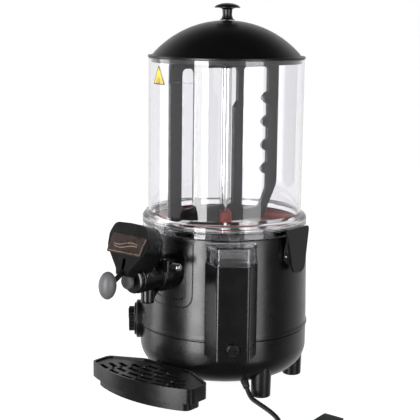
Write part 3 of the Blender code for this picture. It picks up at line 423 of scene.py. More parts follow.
def dress(obj, *nodes, body=None, slot=None, ink=None):
    """Finishes a piece: its surface, the body it rides on and the CAD nodes it stands for."""
    slot = slot or slot_of[nodes[0]]
    obj.data.materials.clear()
    obj.data.materials.append(ink or MATERIALS[slot].material)
    if obj.type == "MESH":
        weighted = obj.modifiers.new("Weighted", "WEIGHTED_NORMAL")
        weighted.keep_sharp = True
    if body is None:
        body = frame["nodes"][nodes[0]]["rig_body"]
    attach(obj, body)
    if nodes:
        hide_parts(*nodes)
    return obj


# --- body and base ---------------------------------------------------------------

def shell_radius(height):
    return 129.4 - (height - 99.0) * 2.7 / 141.0


def groove(name, half_angle, low, high, corner, closed):
    """A line pressed into the shell round the tap, on the shell's surface."""
    half = math.radians(half_angle) * 128.0
    corners = [(-half, high, corner if closed else 0), (-half, low, corner), (half, low, corner),
               (half, high, corner if closed else 0)]
    outline = rounded(corners, steps=8)
    points = []
    pairs = list(zip(outline, outline[1:])) + ([(outline[-1], outline[0])] if closed else [])
    for (x0, z0), (x1, z1) in pairs:
        count = max(1, round(math.hypot(x1 - x0, z1 - z0) / 3.0))
        for i in range(count):
            x, z = x0 + (x1 - x0) * i / count, z0 + (z1 - z0) * i / count
            points.append(at(math.degrees(x / 128.0), shell_radius(z) + 0.15, z))
    if not closed:
        points.append(at(half_angle, shell_radius(high) + 0.15, high))
    return rod(name, points, 1.05, cyclic=closed, sides=2)


def make_body():
    profile = rounded([(120.8, 242.7, 0.4), (125.6, 242.7, 2.2), (126.9, 238.2, 3.2), (129.4, 99.0, 3.0),
                       (131.0, 95.5, 1.2), (131.0, 92.5, 0.5), (127.4, 92.5), (126.4, 99.0), (123.7, 235.7),
                       (113.5, 235.7), (113.5, 238.7), (120.8, 238.7)])
    shell = lathe("shell_moulding", profile, steps=160)
    combine(shell, groove("outer_line", 18.0, 139.0, 246.0, 22.0, False),
            groove("inner_line", 12.9, 151.0, 222.0, 13.0, True))
    profile = rounded([(117.2, 238), (120.7, 238), (120.7, 254.4, 0.8), (117.2, 254.4, 0.8)])
    rim = lathe("inner_rim", profile, steps=128)
    merge(shell, rim)
    for azimuth in (90.0, -90.0):
        for side in (-1, 1):
            place = at(azimuth, 127.6, 214.0) + at(azimuth + 90.0, side * 13.2)
            merge(shell, block(f"lug_{azimuth}_{side}", (4.6, 14, 13.4), frame_of(place, 90.0, azimuth), 1.2))
    dress(shell, "body_shell")

    inner = arc((89.4, 61.0), 37.0, -90, 0, 14)
    outer = [(127.9, 92.0), (127.9, 90.8), (129.1, 90.0), (129.4, 89.2), (129.4, 76.0)]
    outer += arc((89.4, 61.0), 40.0, 0, -90, 20) + [(48.0, 21.0)]
    base = lathe("base_moulding", outer + [(48.0, 24.0)] + inner + [(126.4, 92.0)], steps=160)
    dress(base, "body_base")


def body_solid(name, gap=0.25):
    """The body and base as one solid with a gap round it, for cutting what meets them."""
    profile = [(0, 300), (126.7 + gap, 300), (126.7 + gap, 240), (129.4 + gap, 99), (131 + gap, 95.5),
               (131 + gap, 92.0), (129.4 + gap, 91.0), (129.4 + gap, 76.0)]
    profile += arc((89.4, 61.0), 40.0 + gap, 0, -90, 20) + [(0, 21.0 - gap)]
    return lathe(name, profile, steps=160)


def make_feet():
    profile = rounded([(0, 0), (14.6, 0, 2.6), (15.9, 72), (0, 72)])
    for name, azimuth in (("front_right", 70), ("rear_right", 135), ("rear_left", -135), ("front_left", -70)):
        foot = lathe("rubber_foot_" + name, profile, frame_of(at(azimuth, 111.5)), 48)
        combine(foot, body_solid("foot_room"))
        dress(foot, "foot_" + name)


# --- tank, lid and stirrer ---------------------------------------------------------

def make_tank():
    profile = rounded([(114.5, 498.2, 0.7), (117.5, 498.2, 0.7), (117.5, 268.0, 2.5), (119.8, 263.8, 1.5),
                       (124.6, 262.0, 1.8), (126.3, 258.8, 1.2), (126.3, 253.6, 0.4), (125.1, 252.8, 0.4),
                       (125.1, 251.4, 0.4), (126.3, 250.6, 0.4), (126.3, 243.2, 0.8), (121.6, 243.2, 0.5),
                       (121.6, 255.0, 1.2), (114.5, 255.0, 0.8)])
    dress(lathe("tank_moulding", profile, steps=192), "tank")

    profile = rounded([(103.0, 246.3, 0.6), (107.0, 248.4, 1.5), (111.0, 247.4, 1.0), (113.6, 248.6, 1.0),
                       (113.9, 252.0, 0.6), (116.7, 252.0, 0.6), (116.7, 241.4, 0.4), (103.0, 241.4, 0.4)],
                      steps=3)
    dress(lathe("gasket_ring", profile, steps=128), "tank_gasket")


def make_lid():
    radius = (113.0 ** 2 + 52.0 ** 2) / (2 * 52.0)
    centre = (0, 554.5 - radius)
    edge = math.degrees(math.asin(113.0 / radius))
    outer = arc(centre, radius, 90, 90 - edge, 28)
    inner = arc(centre, radius - 2.5, 90 - edge + 1.5, 90, 20)
    rim = rounded([(113.4, 502.4, 0.8), (116.0, 501.9, 1.0), (118.4, 502.2, 0.6), (119.0, 500.6, 0.8),
                   (118.7, 498.6, 0.4), (114.0, 498.6, 0.4), (113.8, 492.0, 0.6), (111.3, 492.0, 0.6)],
                  steps=3)
    dome = lathe("lid_moulding", [(0, outer[0][1])] + outer[1:-1] + rim + inner[:-1] + [(0, inner[-1][1])],
                 steps=192)
    dress(dome, "lid_dome")

    profile = rounded([(0, 580.0), (9, 579.2, 8), (16, 576.8, 6), (19.6, 573.9, 1.2), (19.2, 572.8, 0.6),
                       (12, 572.6, 2), (7.6, 571.0, 2), (7.0, 562.0, 4), (8.6, 557.2, 3), (12.0, 554.85, 0.4),
                       (0, 554.85)])
    dress(lathe("knob_turning", profile, steps=80), "lid_knob")


def stirrer_wave():
    """The scraper arm's inner edge, read upwards: four soft teeth that stand inwards."""
    points = []
    for i in range(53):
        height = 306.0 + i * 148.0 / 52
        swing = math.cos((height - 324.0) / 37.3 * 2 * math.pi)
        points.append((85.5 - 12.3 * max(0.0, swing) ** 0.8, height))
    return points


def make_stirrer():
    low, high = 247.0, 491.0
    window_low, window_top = low + 28, high - 7
    outline = rounded([(-107, low, 8), (-13, low, 1), (-13, 267.5, 3), (13, 267.5, 3), (13, low, 1),
                       (79, low, 12), (107, low + 52, 30), (107, high, 2), (-107, high, 2)], steps=6)
    left = rounded([(-86.5, window_low), (-61.7, window_low), (-61.7, window_top), (-86.5, window_top)], 9)
    middle = rounded([(-49, window_low, 6), (15, window_low, 4), (15, 424, 3), (22, 433, 3),
                      (22, window_top, 6), (-49, window_top, 6)])
    right = rounded([(33, 264, 8), (70, 264, 12), (85.5, 292, 24)] + stirrer_wave() +
                    [(85.5, window_top, 6), (33, window_top, 6)], steps=6)
    stirrer = plate("stirrer_moulding", [outline, left, middle, right], -3, 3, standing(169.0), 1.1)
    profile = rounded([(0, 490.9), (9.6, 490.9, 1), (11, 484, 1.2), (8.4, 483.6), (0, 483.6)])
    hub = lathe("stirrer_hub", profile, steps=48)
    ribs = [block(f"rib_{reach}", (3.0, 3.4, 205.0), frame_of(at(169.0, reach, 381.0), 0, 169.0), 0.5)
            for reach in (-55.3, 30.6)]
    dress(merge(stirrer, hub, *ribs), "stirrer_frame")

    top, foot = 483.5, 275.6
    profile = rounded([(0, top), (8.0, top, 0.8), (8.0, foot, 0.8), (5.6, foot), (5.6, 320), (0, 320)])
    tube = lathe("stirrer_spindle", profile, steps=64)
    dress(tube, "stirrer_tube")

    profile = rounded([(5.4, 264.0, 0.3), (8.0, 265.0, 0.8), (10.6, 262.6, 1.0), (10.9, 256.0, 0.6),
                       (11.6, 255.4, 0.5), (10.9, 254.6, 0.5), (11.3, 246.6, 2.0), (17.6, 244.4, 0.8),
                       (18.0, 241.4, 0.5), (5.4, 241.4, 0)], steps=3)
    dress(lathe("seal_bellows", profile, steps=64), "shaft_seal")


# --- level column --------------------------------------------------------------------

COLUMN = 43.5


def column_outline(inset, back=118.0, wide=38.0):
    face, side = 23.7 - inset * 0.75, wide - inset * 1.05
    corners = [(-side, back, 0), (side, back, 0), (side, 129, 4), (face, 165.0 - inset, 6.5),
               (-face, 165.0 - inset, 6.5), (-side, 129, 4)]
    return [(x, -y) for x, y in rounded(corners, steps=6)]


def column_inside(inset):
    face, side, back = 23.7 - inset * 0.75, 38.0 - inset * 1.25, 134.0
    corners = [(-side, back), (side, back), (face, 165 - inset, 3), (-face, 165 - inset, 3)]
    return [(x, -y) for x, y in rounded(corners, steps=6)]


def make_column():
    turn = frame_of((0, 0, 0), 0, COLUMN)
    housing = plate("column_moulding", [column_outline(0)], 74, 212, turn, 1.4)
    combine(housing, plate("well", [column_inside(2.6)], 80, 220, turn, 0))
    combine(housing, plate("band", [column_outline(-3, 110), column_outline(0.7)], 91.6, 92.5, turn, 0))
    combine(housing, body_solid("column_room"))
    dress(housing, "level_housing")

    window = plate("window_moulding", [column_outline(1.2)], 212.3, 238, turn, 0.7)
    combine(window, plate("window_well", [column_inside(3.4)], 205, 250, turn, 0))
    combine(window, body_solid("window_room"))
    dress(window, "level_window")

    outline = [(x, -y) for x, y in rounded([(-37.5, 129.5, 3), (37.5, 129.5, 3), (24, 165.6, 4),
                                            (-24, 165.6, 4)], steps=5)]
    lid = plate("cap_moulding", [outline], 238.3, 240.7, turn, 0.7)
    bar = [(-7.5, -8), (-4, -8), (-4, -4), (4, -4), (4, -8), (7.5, -8),
           (7.5, 8), (4, 8), (4, 4), (-4, 4), (-4, 8), (-7.5, 8)]
    catch = plate("catch", [rounded(bar, 1.2)], -1.9, 1.9, radial(COLUMN, 162.5, 247.4), 1.1)
    dress(merge(lid, catch), "level_lid")

    profile = rounded([(0, 5.9), (7.4, 5.9, 1.2), (9.4, 4.0, 1.0), (9.5, 0.4, 0.3), (5.8, 0.4), (5.8, -10),
                       (0, -10)])
    plug = lathe("plug_turning", profile, radial(COLUMN, 165.0, 92.0), 48)
    slot = block("slot", (12, 2, 4), radial(COLUMN, 171.0, 92.0), 0)
    dress(combine(plug, slot), "drain_plug")


# --- dial, switch and latches ------------------------------------------------------------

DIAL, SWITCH = -48.0, -78.0


def make_dial():
    turn = radial(DIAL, 0, 92.0)
    profile = rounded([(20.8, 139.0, 0.5), (24.4, 139.0, 1.0), (25.4, 137.8, 0.6), (25.5, 136.2, 0.4),
                       (28.8, 135.5, 1.0), (29.7, 134.2, 0.8), (29.7, 124, 0), (5, 124, 0), (5, 135, 0),
                       (20.8, 135, 0)])
    bezel = lathe("bezel_ring", profile, turn, 96)
    dress(combine(bezel, body_solid("bezel_room")), "dial_bezel")

    outline = []
    for i in range(144):
        angle = 2 * math.pi * i / 144
        reach = 18.9 + 0.4 * math.cos(angle * 24)
        outline.append((reach * math.cos(angle), reach * math.sin(angle)))
    knob = plate("dial_turning", [outline], 136.4, 147.4, turn, 1.3)
    pointer = block("pointer", (2.4, 15.5, 1.6), radial(DIAL, 147.6, 101.0), 0.5)
    spindle = lathe("spindle", [(0, 137), (3.1, 137), (3.1, 119.4), (0, 119.4)], turn, 24)
    dress(merge(knob, pointer, spindle), "dial_knob")

    marks = None
    for i in range(11):
        angle = math.radians(225 - 27 * i)
        place = turn @ Matrix.Rotation(angle - math.pi / 2, 4, "Z") @ Matrix.Translation((0, 22.6, 139.06))
        mark = block(f"mark_{i}", (0.7, 2.4 if i % 5 else 3.0, 0.24), place, 0)
        marks = merge(marks, mark) if marks else mark
    marks.name = "dial_marks"
    dress(marks, body="body", slot="trim_black", ink=WHITE_INK)


def make_switch():
    turn = radial(SWITCH, 0, 132.0)
    outer = rounded([(-11.5, -15), (11.5, -15), (11.5, 15), (-11.5, 15)], 2)
    inner = rounded([(-7, -10.4), (7, -10.4), (7, 10.4), (-7, 10.4)], 0.8)
    bezel = plate("switch_surround", [outer, inner], 120, 132.2, turn, 0.9)
    combine(bezel, body_solid("switch_room", -5.0))
    dress(bezel, "switch_frame")
    side = rounded([(-9.2, -3), (9.2, -3), (9.2, 3.0, 1), (0, 1.2, 12), (-9.2, 3.0, 1)])
    tilt = radial(SWITCH, 129.5, 132.0, 8.0) @ Matrix.Rotation(math.radians(90), 4, "Z") @ Matrix.Rotation(
        math.radians(90), 4, "X")
    rocker = plate("rocker_moulding", [side], -6.4, 6.4, tilt, 0.7)
    dress(rocker, "switch_rocker")
    seat = radial(SWITCH, 129.5, 132.0, 8.0)
    bar = block("on_mark", (0.9, 4.0, 0.3), seat @ Matrix.Translation((0, 5.6, 2.15)), 0)
    ring = lathe("off_ring", [(1.5, 0.15), (2.2, 0.15), (2.2, -0.15), (1.5, -0.15)],
                 seat @ Matrix.Translation((0, -5.6, 2.15)), 24)
    marks = merge(bar, ring)
    marks.name = "switch_marks"
    dress(marks, body="rocker", slot="knob_grey", ink=WHITE_INK)


def make_latch(side, sign):
    azimuth = 90.0 * sign
    face = rounded([(-27, 6, 6), (-14, -56, 14), (14, -56, 14), (27, 6, 6), (25.5, 11, 3), (-25.5, 11, 3)],
                   steps=10)
    tongue = plate("latch_moulding_" + side, [face], -3.2, 0.0, radial(azimuth, 140.0, 245.0, -2.0), 1.3)
    cheek = rounded([(127.9, 220, 2), (127.9, 208, 3), (137.5, 201, 2), (138, 251, 0), (134, 251, 2)])
    cheeks = [plate(f"cheek_{side}_{edge}", [cheek], -1.1, 1.1, standing(azimuth, edge * 18.4), 0.6)
              for edge in (-1, 1)]
    lip = block("lip_" + side, (44, 10, 3), frame_of(at(azimuth, 133.2, 254), 0, azimuth), 0.8)
    dress(merge(tongue, lip, *cheeks), "latch_" + side)
    pin = lathe("latch_axle_" + side, rounded([(0, 20.4), (2.0, 20.4, 0.7), (2.0, -20.4, 0.7), (0, -20.4)]),
                frame_of(at(azimuth, 131.5, 214.0), 90, 0), 32)
    dress(pin, "latch_pin_" + side)


# --- tap ---------------------------------------------------------------------------------

TAP = radial(0, 0, 191.0)
LEAN = frame_of(forward(229.0, 203.0), 74.0)


def make_tap():
    profile = rounded([(14.0, 118), (20.0, 118, 0.5), (20.0, 163, 0.3), (19.2, 163.6, 0.2),
                       (19.2, 164.6, 0.2), (20.0, 165.2, 0.3), (20.0, 200, 1.2), (14.0, 200, 0.4)])
    barrel = lathe("barrel_moulding", profile, TAP, 80)
    spout = lathe("spout", rounded([(6.5, 178), (9.6, 178), (9.5, 157, 0.5), (9.9, 156, 0.3), (9.6, 153, 0.8),
                                    (7.0, 153, 0.8)]), frame_of(forward(175.5, 0)), 48)
    cutter = lathe("port", [(0, 180), (6.4, 180), (6.4, 160), (0, 160)], frame_of(forward(175.5, 0)), 32)
    combine(barrel, cutter)
    combine(spout, lathe("bore", [(0, 118), (19.6, 118), (19.6, 210), (0, 210)], TAP, 64))
    web = rounded([(166, 172.4), (150, 172.4), (152, 166, 1), (164, 155, 1.5), (166.6, 156, 1)])
    web = plate("spout_web", [web], -1.2, 1.2, standing(0), 0.5)
    dress(merge(barrel, spout, web), "tap_barrel")

    profile = rounded([(5.4, 200.4), (19.0, 200.4, 0.6), (19.0, 206.6, 1.4), (16.0, 208.0, 0.8),
                       (5.4, 208.0)])
    dress(lathe("cap_ring", profile, TAP, 64), "tap_cap")

    profile = rounded([(20.4, 121), (26, 121), (26.0, 148, 2), (24.4, 160.5, 2.5), (22.6, 162, 1),
                       (20.4, 162, 0.5)])
    ring = lathe("mount_ring", profile, TAP, 80)
    lug = block("pin_lug", (15, 15, 18), frame_of(forward(154.5, 207, 20)), 2.5)
    combine(ring, body_solid("mount_room"))
    dress(merge(ring, lug), "tap_mount")

    profile = rounded([(0, 44.8), (3.4, 44.8, 1.4), (6.0, 42.4, 1.4), (6.0, 29.2, 1.2), (4.4, 28.2, 0.5),
                       (4.2, 17.0), (0, 17.0)])
    across = frame_of(forward(154.5, 207)) @ Matrix.Rotation(math.radians(90), 4, "Y")
    pin = lathe("lock_pin_turning", profile, across, 40)
    dress(pin, "tap_lock_pin")


def shield_outline(inset):
    low = -4 if inset else 0
    half = [(11, low, 0), (13, 8, 6), (37, 37, 14), (37.5, 56, 16), (30, 72.6, 16), (0, 74, 30)]
    right = [(x - inset if x else 0, z - (inset if z > 60 else 0), r) for x, z, r in half]
    left = [(-x, z, r) for x, z, r in reversed(right[:-1])]
    return rounded(right + left, steps=8)


def make_hood():
    shield = plate("shield_moulding", [shield_outline(0)], -3, 0, LEAN, 1.0)
    slot = rounded([(-2.8, -6, 0), (2.8, -6, 0), (2.8, 24, 2.8), (-2.8, 24, 2.8)])
    slot = plate("slot", [slot], -10, 5, LEAN, 0)
    dress(combine(shield, slot), "tap_shield")

    hood = plate("hood_moulding", [shield_outline(0)], -52, -3.3, LEAN, 1.8)
    hollow = plate("hollow", [shield_outline(3)], -60, 0, LEAN, 0)
    combine(hollow, block("hollow_back", (120, 60, 160), frame_of(forward(157, 240)), 0))
    combine(hood, block("hood_back", (120, 60, 160), frame_of(forward(154, 240)), 0))
    room = lathe("barrel_room", [(0, 150), (20.4, 150), (20.4, 209), (0, 209)], TAP, 64)
    head = lathe("head_room", [(0, 205), (14, 205), (14, 260), (0, 260)], TAP, 48)
    combine(hood, hollow)
    combine(hood, room, head)
    dress(hood, "tap_hood")

    badge = rounded([(-36, 29, 2.5), (28, 29, 2.5), (36, 56, 2.5), (-30, 57, 2.5)])
    dress(plate("badge_label", [badge], 0.3, 1.1, LEAN, 0.25), "tap_badge")
    line = [(-33.5, 31.2), (26.6, 31.2), (33.6, 54.2), (33.0, 54.4), (26.0, 31.9), (-33.4, 31.9)]
    line = plate("badge_line", [line], 1.1, 1.3, LEAN, 0)
    waves = []
    for i, height in enumerate((40.5, 44.5)):
        upper = [(x, height + 2.4 * math.sin(x / 8.5 + i * 0.5)) for x in range(-24, 21, 2)]
        lower = [(x, z - 0.9) for x, z in reversed(upper)]
        waves.append(plate(f"wave_{i}", [upper + lower], 1.1, 1.3, LEAN, 0))
    trim = merge(line, *waves)
    trim.name = "badge_trim"
    dress(trim, body="body", slot="badge_brown", ink=CREAM_INK)


def make_lever():
    outline = rounded([(198.5, 222, 4), (198.5, 213, 3), (209.6, 212.2, 0), (211.1, 206, 0),
                       (214.1, 205.5, 0), (224, 203.5, 6), (247.4, 191.4, 0), (247.4, 197.4, 0),
                       (209, 222, 4)])
    lever = plate("lever_moulding", [outline], -2, 2, standing(0), 0.6)
    bridge = block("fork_bridge", (17.6, 3, 5), frame_of(forward(212.6, 207.4)), 0.6)
    tines = [block(f"tine_{side}", (2.6, 3, 23), frame_of(forward(212.6, 195.5, side * 7.5)), 0.5)
             for side in (-1, 1)]
    dress(merge(lever, bridge, *tines), "tap_lever")

    profile = [(0, 19.5)] + [(13.0 * math.cos(t), 19.5 * math.sin(t))
                             for t in [math.radians(90 - 180 * i / 28) for i in range(1, 28)]] + [(0, -19.5)]
    place = frame_of(forward(256.4, 193.0), -4.0) @ Matrix.Diagonal((1.0, 0.92, 1.0, 1.0))
    dress(lathe("knob_moulding", profile, place, 64), "tap_knob")
    pin = lathe("pivot_axle", rounded([(0, 20), (2.0, 20, 0.7), (2.0, -20, 0.7), (0, -20)]),
                frame_of(forward(203.0, 217.5)) @ Matrix.Rotation(math.radians(90), 4, "Y"), 32)
    dress(pin, "tap_pivot_pin")


# --- drip tray ------------------------------------------------------------------------------

def tray_outline(inset, corner=6.0, narrower=0.0):
    half, radius = 98.0 - inset - narrower, 215.0 - inset
    tip = math.degrees(math.asin(half / radius))
    front = arc((0, 0), radius, 90 + tip - 4.5, 90 - tip + 4.5, 41)
    reach, side, rear = math.sqrt(radius ** 2 - half ** 2), 156 + inset * 0.5, 129.5 + inset
    corners = [(-half, reach, corner * 2)] + front + [
        (half, reach, corner * 2), (half, side, corner * 2), (46 - inset * 0.3, rear, corner * 2),
        (-46 + inset * 0.3, rear, corner * 2), (-half, side, corner * 2)]
    return [(x, -y) for x, y in rounded(corners, steps=8)]


def make_tray():
    band = plate("tray_moulding", [tray_outline(0)], 26, 48, UPRIGHT, 1.6)
    step = plate("tray_step", [tray_outline(8, 6.0, 2)], 12.5, 27.5, UPRIGHT, 1.8)
    combine(band, step, operation="UNION")
    combine(band, plate("ledge", [tray_outline(3)], 42.5, 60, UPRIGHT, 0))
    combine(band, plate("well", [tray_outline(7)], 28.5, 60, UPRIGHT, 0))
    combine(band, plate("sump", [tray_outline(11, 6.0, 2)], 15, 60, UPRIGHT, 0))
    combine(band, block("tongue_slot", (57, 20, 6), frame_of(forward(132.5, 36)), 0))
    dress(band, "drip_tray")


def grille_slots():
    """Rows of slots that follow the tray's front edge."""
    loops = []
    for row in range(5):
        radius = 206.0 - row * 14.0
        spread = (24.0, 24.0, 22.5, 17.0, 10.0)[row]
        count = (6, 6, 5, 4, 2)[row]
        pitch = 2 * spread / count
        for slot in range(count):
            left = -spread + pitch * slot + 0.9
            right = left + pitch - 1.8
            edge = [(radius + 3.4, left + (right - left) * i / 6, 2.0 * (i in (0, 6))) for i in range(7)]
            edge += [(radius - 3.4, right - (right - left) * i / 6, 2.0 * (i in (0, 6))) for i in range(7)]
            loops.append(rounded([(r * math.sin(math.radians(a)), -r * math.cos(math.radians(a)), soft)
                                  for r, a, soft in edge], steps=3))
    return loops


def make_grille():
    grille = plate("grille_moulding", [tray_outline(3.6, 5.0)] + grille_slots(), 42.8, 45.8, UPRIGHT, 0.5)
    studs = []
    for row in range(4):
        radius = 199.0 - row * 14.0
        spread = (24.0, 24.0, 22.5, 17.0)[row]
        count = (6, 6, 5, 4)[row]
        for slot in range(1, count, 2):
            azimuth = -spread + 2 * spread / count * slot
            stud = lathe(f"stud_{row}_{slot}", [(0, 2.2), (1.2, 1.9), (2.2, 1.1), (2.7, 0.0), (0, 0.0)],
                         frame_of(at(azimuth, radius, 45.7)), 20)
            studs.append(stud)
    dress(merge(grille, *studs), "drip_grille")

    bracket = block("bracket_moulding", (60, 30, 20), frame_of(forward(111.7, 36)), 1.8)
    combine(bracket, body_solid("bracket_room"))
    tongue = block("bracket_tongue", (54, 10, 4), frame_of(forward(129, 36)), 0.8)
    dress(merge(bracket, tongue), "tray_bracket")


# --- stickers on the tank ------------------------------------------------------------------

def on_tank(name, outline, azimuth, height, reach, ink):
    """A thin print on the tank's outside, from an outline in millimetres round and up."""
    shape = bmesh.new()
    rows = []
    for depth in (0.0, 0.12):
        rows.append([shape.verts.new(world(*at(azimuth + math.degrees(x / reach), reach + depth, height + z)))
                     for x, z in outline])
    shape.faces.new(rows[1])
    shape.faces.new(list(reversed(rows[0])))
    for i in range(len(outline)):
        j = (i + 1) % len(outline)
        shape.faces.new((rows[0][i], rows[0][j], rows[1][j], rows[1][i]))
    bmesh.ops.recalc_face_normals(shape, faces=shape.faces)
    mesh = bpy.data.meshes.new(name)
    shape.to_mesh(mesh)
    shape.free()
    obj = object_of(name, mesh)
    return dress(obj, body="body", slot="clear_plastic", ink=ink) if ink else obj


def make_stickers():
    azimuth, height = -18.5, 474.5
    border = rounded([(-17, -13.5), (17, -13.5), (0.0, 15.5)], 2.0)
    on_tank("sticker_border", border, azimuth, height, 117.58, TRIM)
    triangle = rounded([(-14, -11.8), (14, -11.8), (0.0, 12.2)], 1.2)
    on_tank("yellow_sticker", triangle, azimuth, height, 117.74, YELLOW_INK)
    bar = [(-3.2, -0.35), (3.2, -0.35), (3.2, 0.35), (-3.2, 0.35)]
    dashes = None
    for i in range(5):
        dash = on_tank(f"dash_{i}", bar, -7.0 + i * 5.0, 466.0, 117.58, None)
        dashes = merge(dashes, dash) if dashes else dash
    dashes.name = "level_line"
    dress(dashes, body="body", slot="clear_plastic", ink=GREY_INK)


# --- power cord ------------------------------------------------------------------------------

COIL = Vector((262.0, -170.0, 0.0))
HEADING = 64.0
GLAND = at(57.5, 103.0, 23.4)


def smoothed(share):
    share = max(0.0, min(1.0, share))
    return share * share * (3 - 2 * share)


def coil_point(turned):
    """The cord in its coil after so many degrees, from where it enters at 180."""
    def done(start, end, late=0.0):
        share = (turned - start) / (end - start)
        return smoothed((share - late) / (1 - late))
    radius = 45.5 - 7.0 * done(460, 540) + 7.0 * done(1020, 1100) - 3.5 * done(1300, 1380, 0.35)
    height = 3.6 + 7.05 * done(740, 820) + 7.05 * done(1300, 1360)
    angle = math.radians(turned)
    return COIL + Vector((radius * math.cos(angle), radius * math.sin(angle), height))


def cord_points():
    drop = math.radians(45.0)
    level = at(HEADING, 1.0)
    down = level * math.cos(drop) - Vector((0, 0, math.sin(drop)))
    straight = (23.4 - 3.6 - 30.0 * (1 - math.cos(drop))) / math.sin(drop)
    points = [GLAND + down * along for along in (12.3, straight)]
    bend = points[1]
    for i in range(1, 7):
        angle = drop * (1 - i / 6)
        onward = 30.0 * (math.sin(drop) - math.sin(angle))
        fall = 30.0 * (math.cos(angle) - math.cos(drop))
        points.append(bend + level * onward - Vector((0, 0, fall)))
    first = points[-1]
    last = coil_point(180.0)
    controls = [first, first + level * 48.0, last + Vector((0, 62, 0)), last]
    for i in range(1, 20):
        t = i / 20
        weights = ((1 - t) ** 3, 3 * t * (1 - t) ** 2, 3 * t * t * (1 - t), t ** 3)
        point = sum((c * w for c, w in zip(controls, weights)), Vector((0, 0, 0)))
        point.z = 3.6
        points.append(point)
    turned = 180.0
    while turned < 1710.0:
        points.append(coil_point(turned))
        turned += 10.0
    start = coil_point(1710.0)
    for i in range(0, 10):
        angle = math.radians(270.0 + 10.0 * i)
        rise = 15.9 * smoothed(i / 9)
        points.append(COIL + Vector((36 * math.cos(angle), -6 + 36 * math.sin(angle), start.z + rise)))
    points.append(points[-1] + Vector((0, 4, 0)))
    return points


def make_cord():
    points = [world(*p) for p in cord_points()]
    cord = curve_object("power_lead", [points], flat=False, cyclic=False)
    cord.data.bevel_depth = 3.5 * MM
    cord.data.bevel_resolution = 4
    cord.data.use_fill_caps = True
    length = sum((b - a).length for a, b in zip(points, points[1:]))
    dress(cord, "power_cord", "cord_coil")

    profile = rounded([(3.8, 12.0, 0.3), (4.7, 12.0, 0.5), (5.1, 9.4, 0), (4.7, 9.0, 0.2), (4.7, 8.2, 0.2),
                       (5.3, 7.8, 0), (5.5, 5.4, 0), (5.0, 5.0, 0.2), (5.0, 4.2, 0.2), (5.7, 3.8, 0),
                       (6.1, 1.0, 0.6), (6.1, -9, 0.6), (3.8, -9)], steps=2)
    dress(lathe("relief_sleeve", profile, frame_of(GLAND, 135.0, HEADING), 40), "strain_relief")

    plug_place = COIL + Vector((36, 14, 33.6))
    side = rounded([(-20, -7, 3), (-8, -10.5, 6), (14, -12, 6), (20, -12, 2),
                    (20, 12, 2), (14, 12, 6), (-8, 10.5, 6), (-20, 7, 3)], steps=5)
    on_edge = Matrix.Rotation(math.radians(90), 4, "X")
    along = frame_of(plug_place) @ Matrix.Rotation(math.radians(90), 4, "Z") @ on_edge
    plug = plate("plug_moulding", [side], -14, 14, along, 3.0)
    ribs = [block(f"plug_rib_{i}", (26, 1.6, 23.6 - i * 0.8),
                  frame_of(plug_place + Vector((0, -2 - 4 * i, 0))), 0.5) for i in range(4)]
    dress(merge(plug, *ribs), "power_plug")
    pins = []
    for side in (-1, 1):
        profile = rounded([(0, 39), (2.4, 39, 1.6), (2.4, 19.5), (0, 19.5)])
        pins.append(lathe(f"pin_{side}", profile, frame_of(plug_place + Vector((side * 9.5, 0, 0)), -90), 24))
    prongs = merge(*pins)
    prongs.name = "plug_prongs"
    dress(prongs, body="body", slot="polished_steel")

    loop = rounded([(33.2, 0.2), (50.8, 0.2), (50.8, 22.6), (33.2, 22.6)], 4.0)
    inner = rounded([(34.0, 1.0), (50.0, 1.0), (50.0, 21.8), (34.0, 21.8)], 3.4)
    place = frame_of(COIL) @ Matrix.Rotation(math.radians(200), 4, "Z") @ on_edge
    tie = plate("cord_tie", [loop, inner], -2.0, 2.0, place, 0.2)
    dress(tie, body="body", slot="black_rubber")
    return cord, points[0], length


# --- the rest of the frame, stage, light and camera ----------------------------------------------

def dress_frame():
    for name, obj in frame["nodes"].items():
        if obj.hide_render:
            continue
        obj.data.materials.clear()
        obj.data.materials.append(MATERIALS[slot_of[name]].material)
        obj.data.shade_smooth()
        obj.data.set_sharp_from_angle(angle=math.radians(38))


def seen_directly(nodes, links):
    """1 for what the camera sees, also through clear plastic, and 0 for light and reflections."""
    rays = nodes.new("ShaderNodeLightPath")
    seen = nodes.new("ShaderNodeMath")
    seen.operation = "MAXIMUM"
    links.new(rays.outputs["Is Camera Ray"], seen.inputs[0])
    links.new(rays.outputs["Is Transmission Ray"], seen.inputs[1])
    return seen.outputs["Value"]


def make_stage():
    tree = Tree("studio_floor")
    tone = tree.spread(tree.noise(3.0, 2.0), 0.0, 1.0)
    tree.link(tree.mix(tone, (0.40, 0.40, 0.40), (0.42, 0.42, 0.42)), "Base Color")
    tree.link(tree.spread(seen_directly(tree.nodes, tree.links), 0.0, 0.93, 0.0, 1.0), "Emission Strength")
    tree.set(Roughness=0.8, Specular_IOR_Level=0.1, Emission_Color=(1.0, 1.0, 1.0, 1.0))
    shape = bmesh.new()
    bmesh.ops.create_grid(shape, x_segments=8, y_segments=8, size=40.0)
    mesh = bpy.data.meshes.new("studio_floor")
    shape.to_mesh(mesh)
    shape.free()
    floor = bpy.data.objects.new("studio_floor", mesh)
    mesh.materials.append(tree.material)
    floor.location.z = -0.0002
    floor.visible_glossy = False
    floor.visible_shadow = False
    scene.collection.objects.link(floor)


def world_level(nodes, links, direction, axis, low, high):
    """A smooth step between two levels along a fixed direction."""
    dot = nodes.new("ShaderNodeVectorMath")
    dot.operation = "DOT_PRODUCT"
    dot.inputs[1].default_value = axis
    links.new(direction, dot.inputs[0])
    swing = nodes.new("ShaderNodeMapRange")
    swing.interpolation_type = "SMOOTHSTEP"
    for key, value in (("From Min", low[0]), ("From Max", high[0]), ("To Min", low[1]), ("To Max", high[1])):
        swing.inputs[key].default_value = value
    links.new(dot.outputs["Value"], swing.inputs["Value"])
    return swing.outputs["Result"]


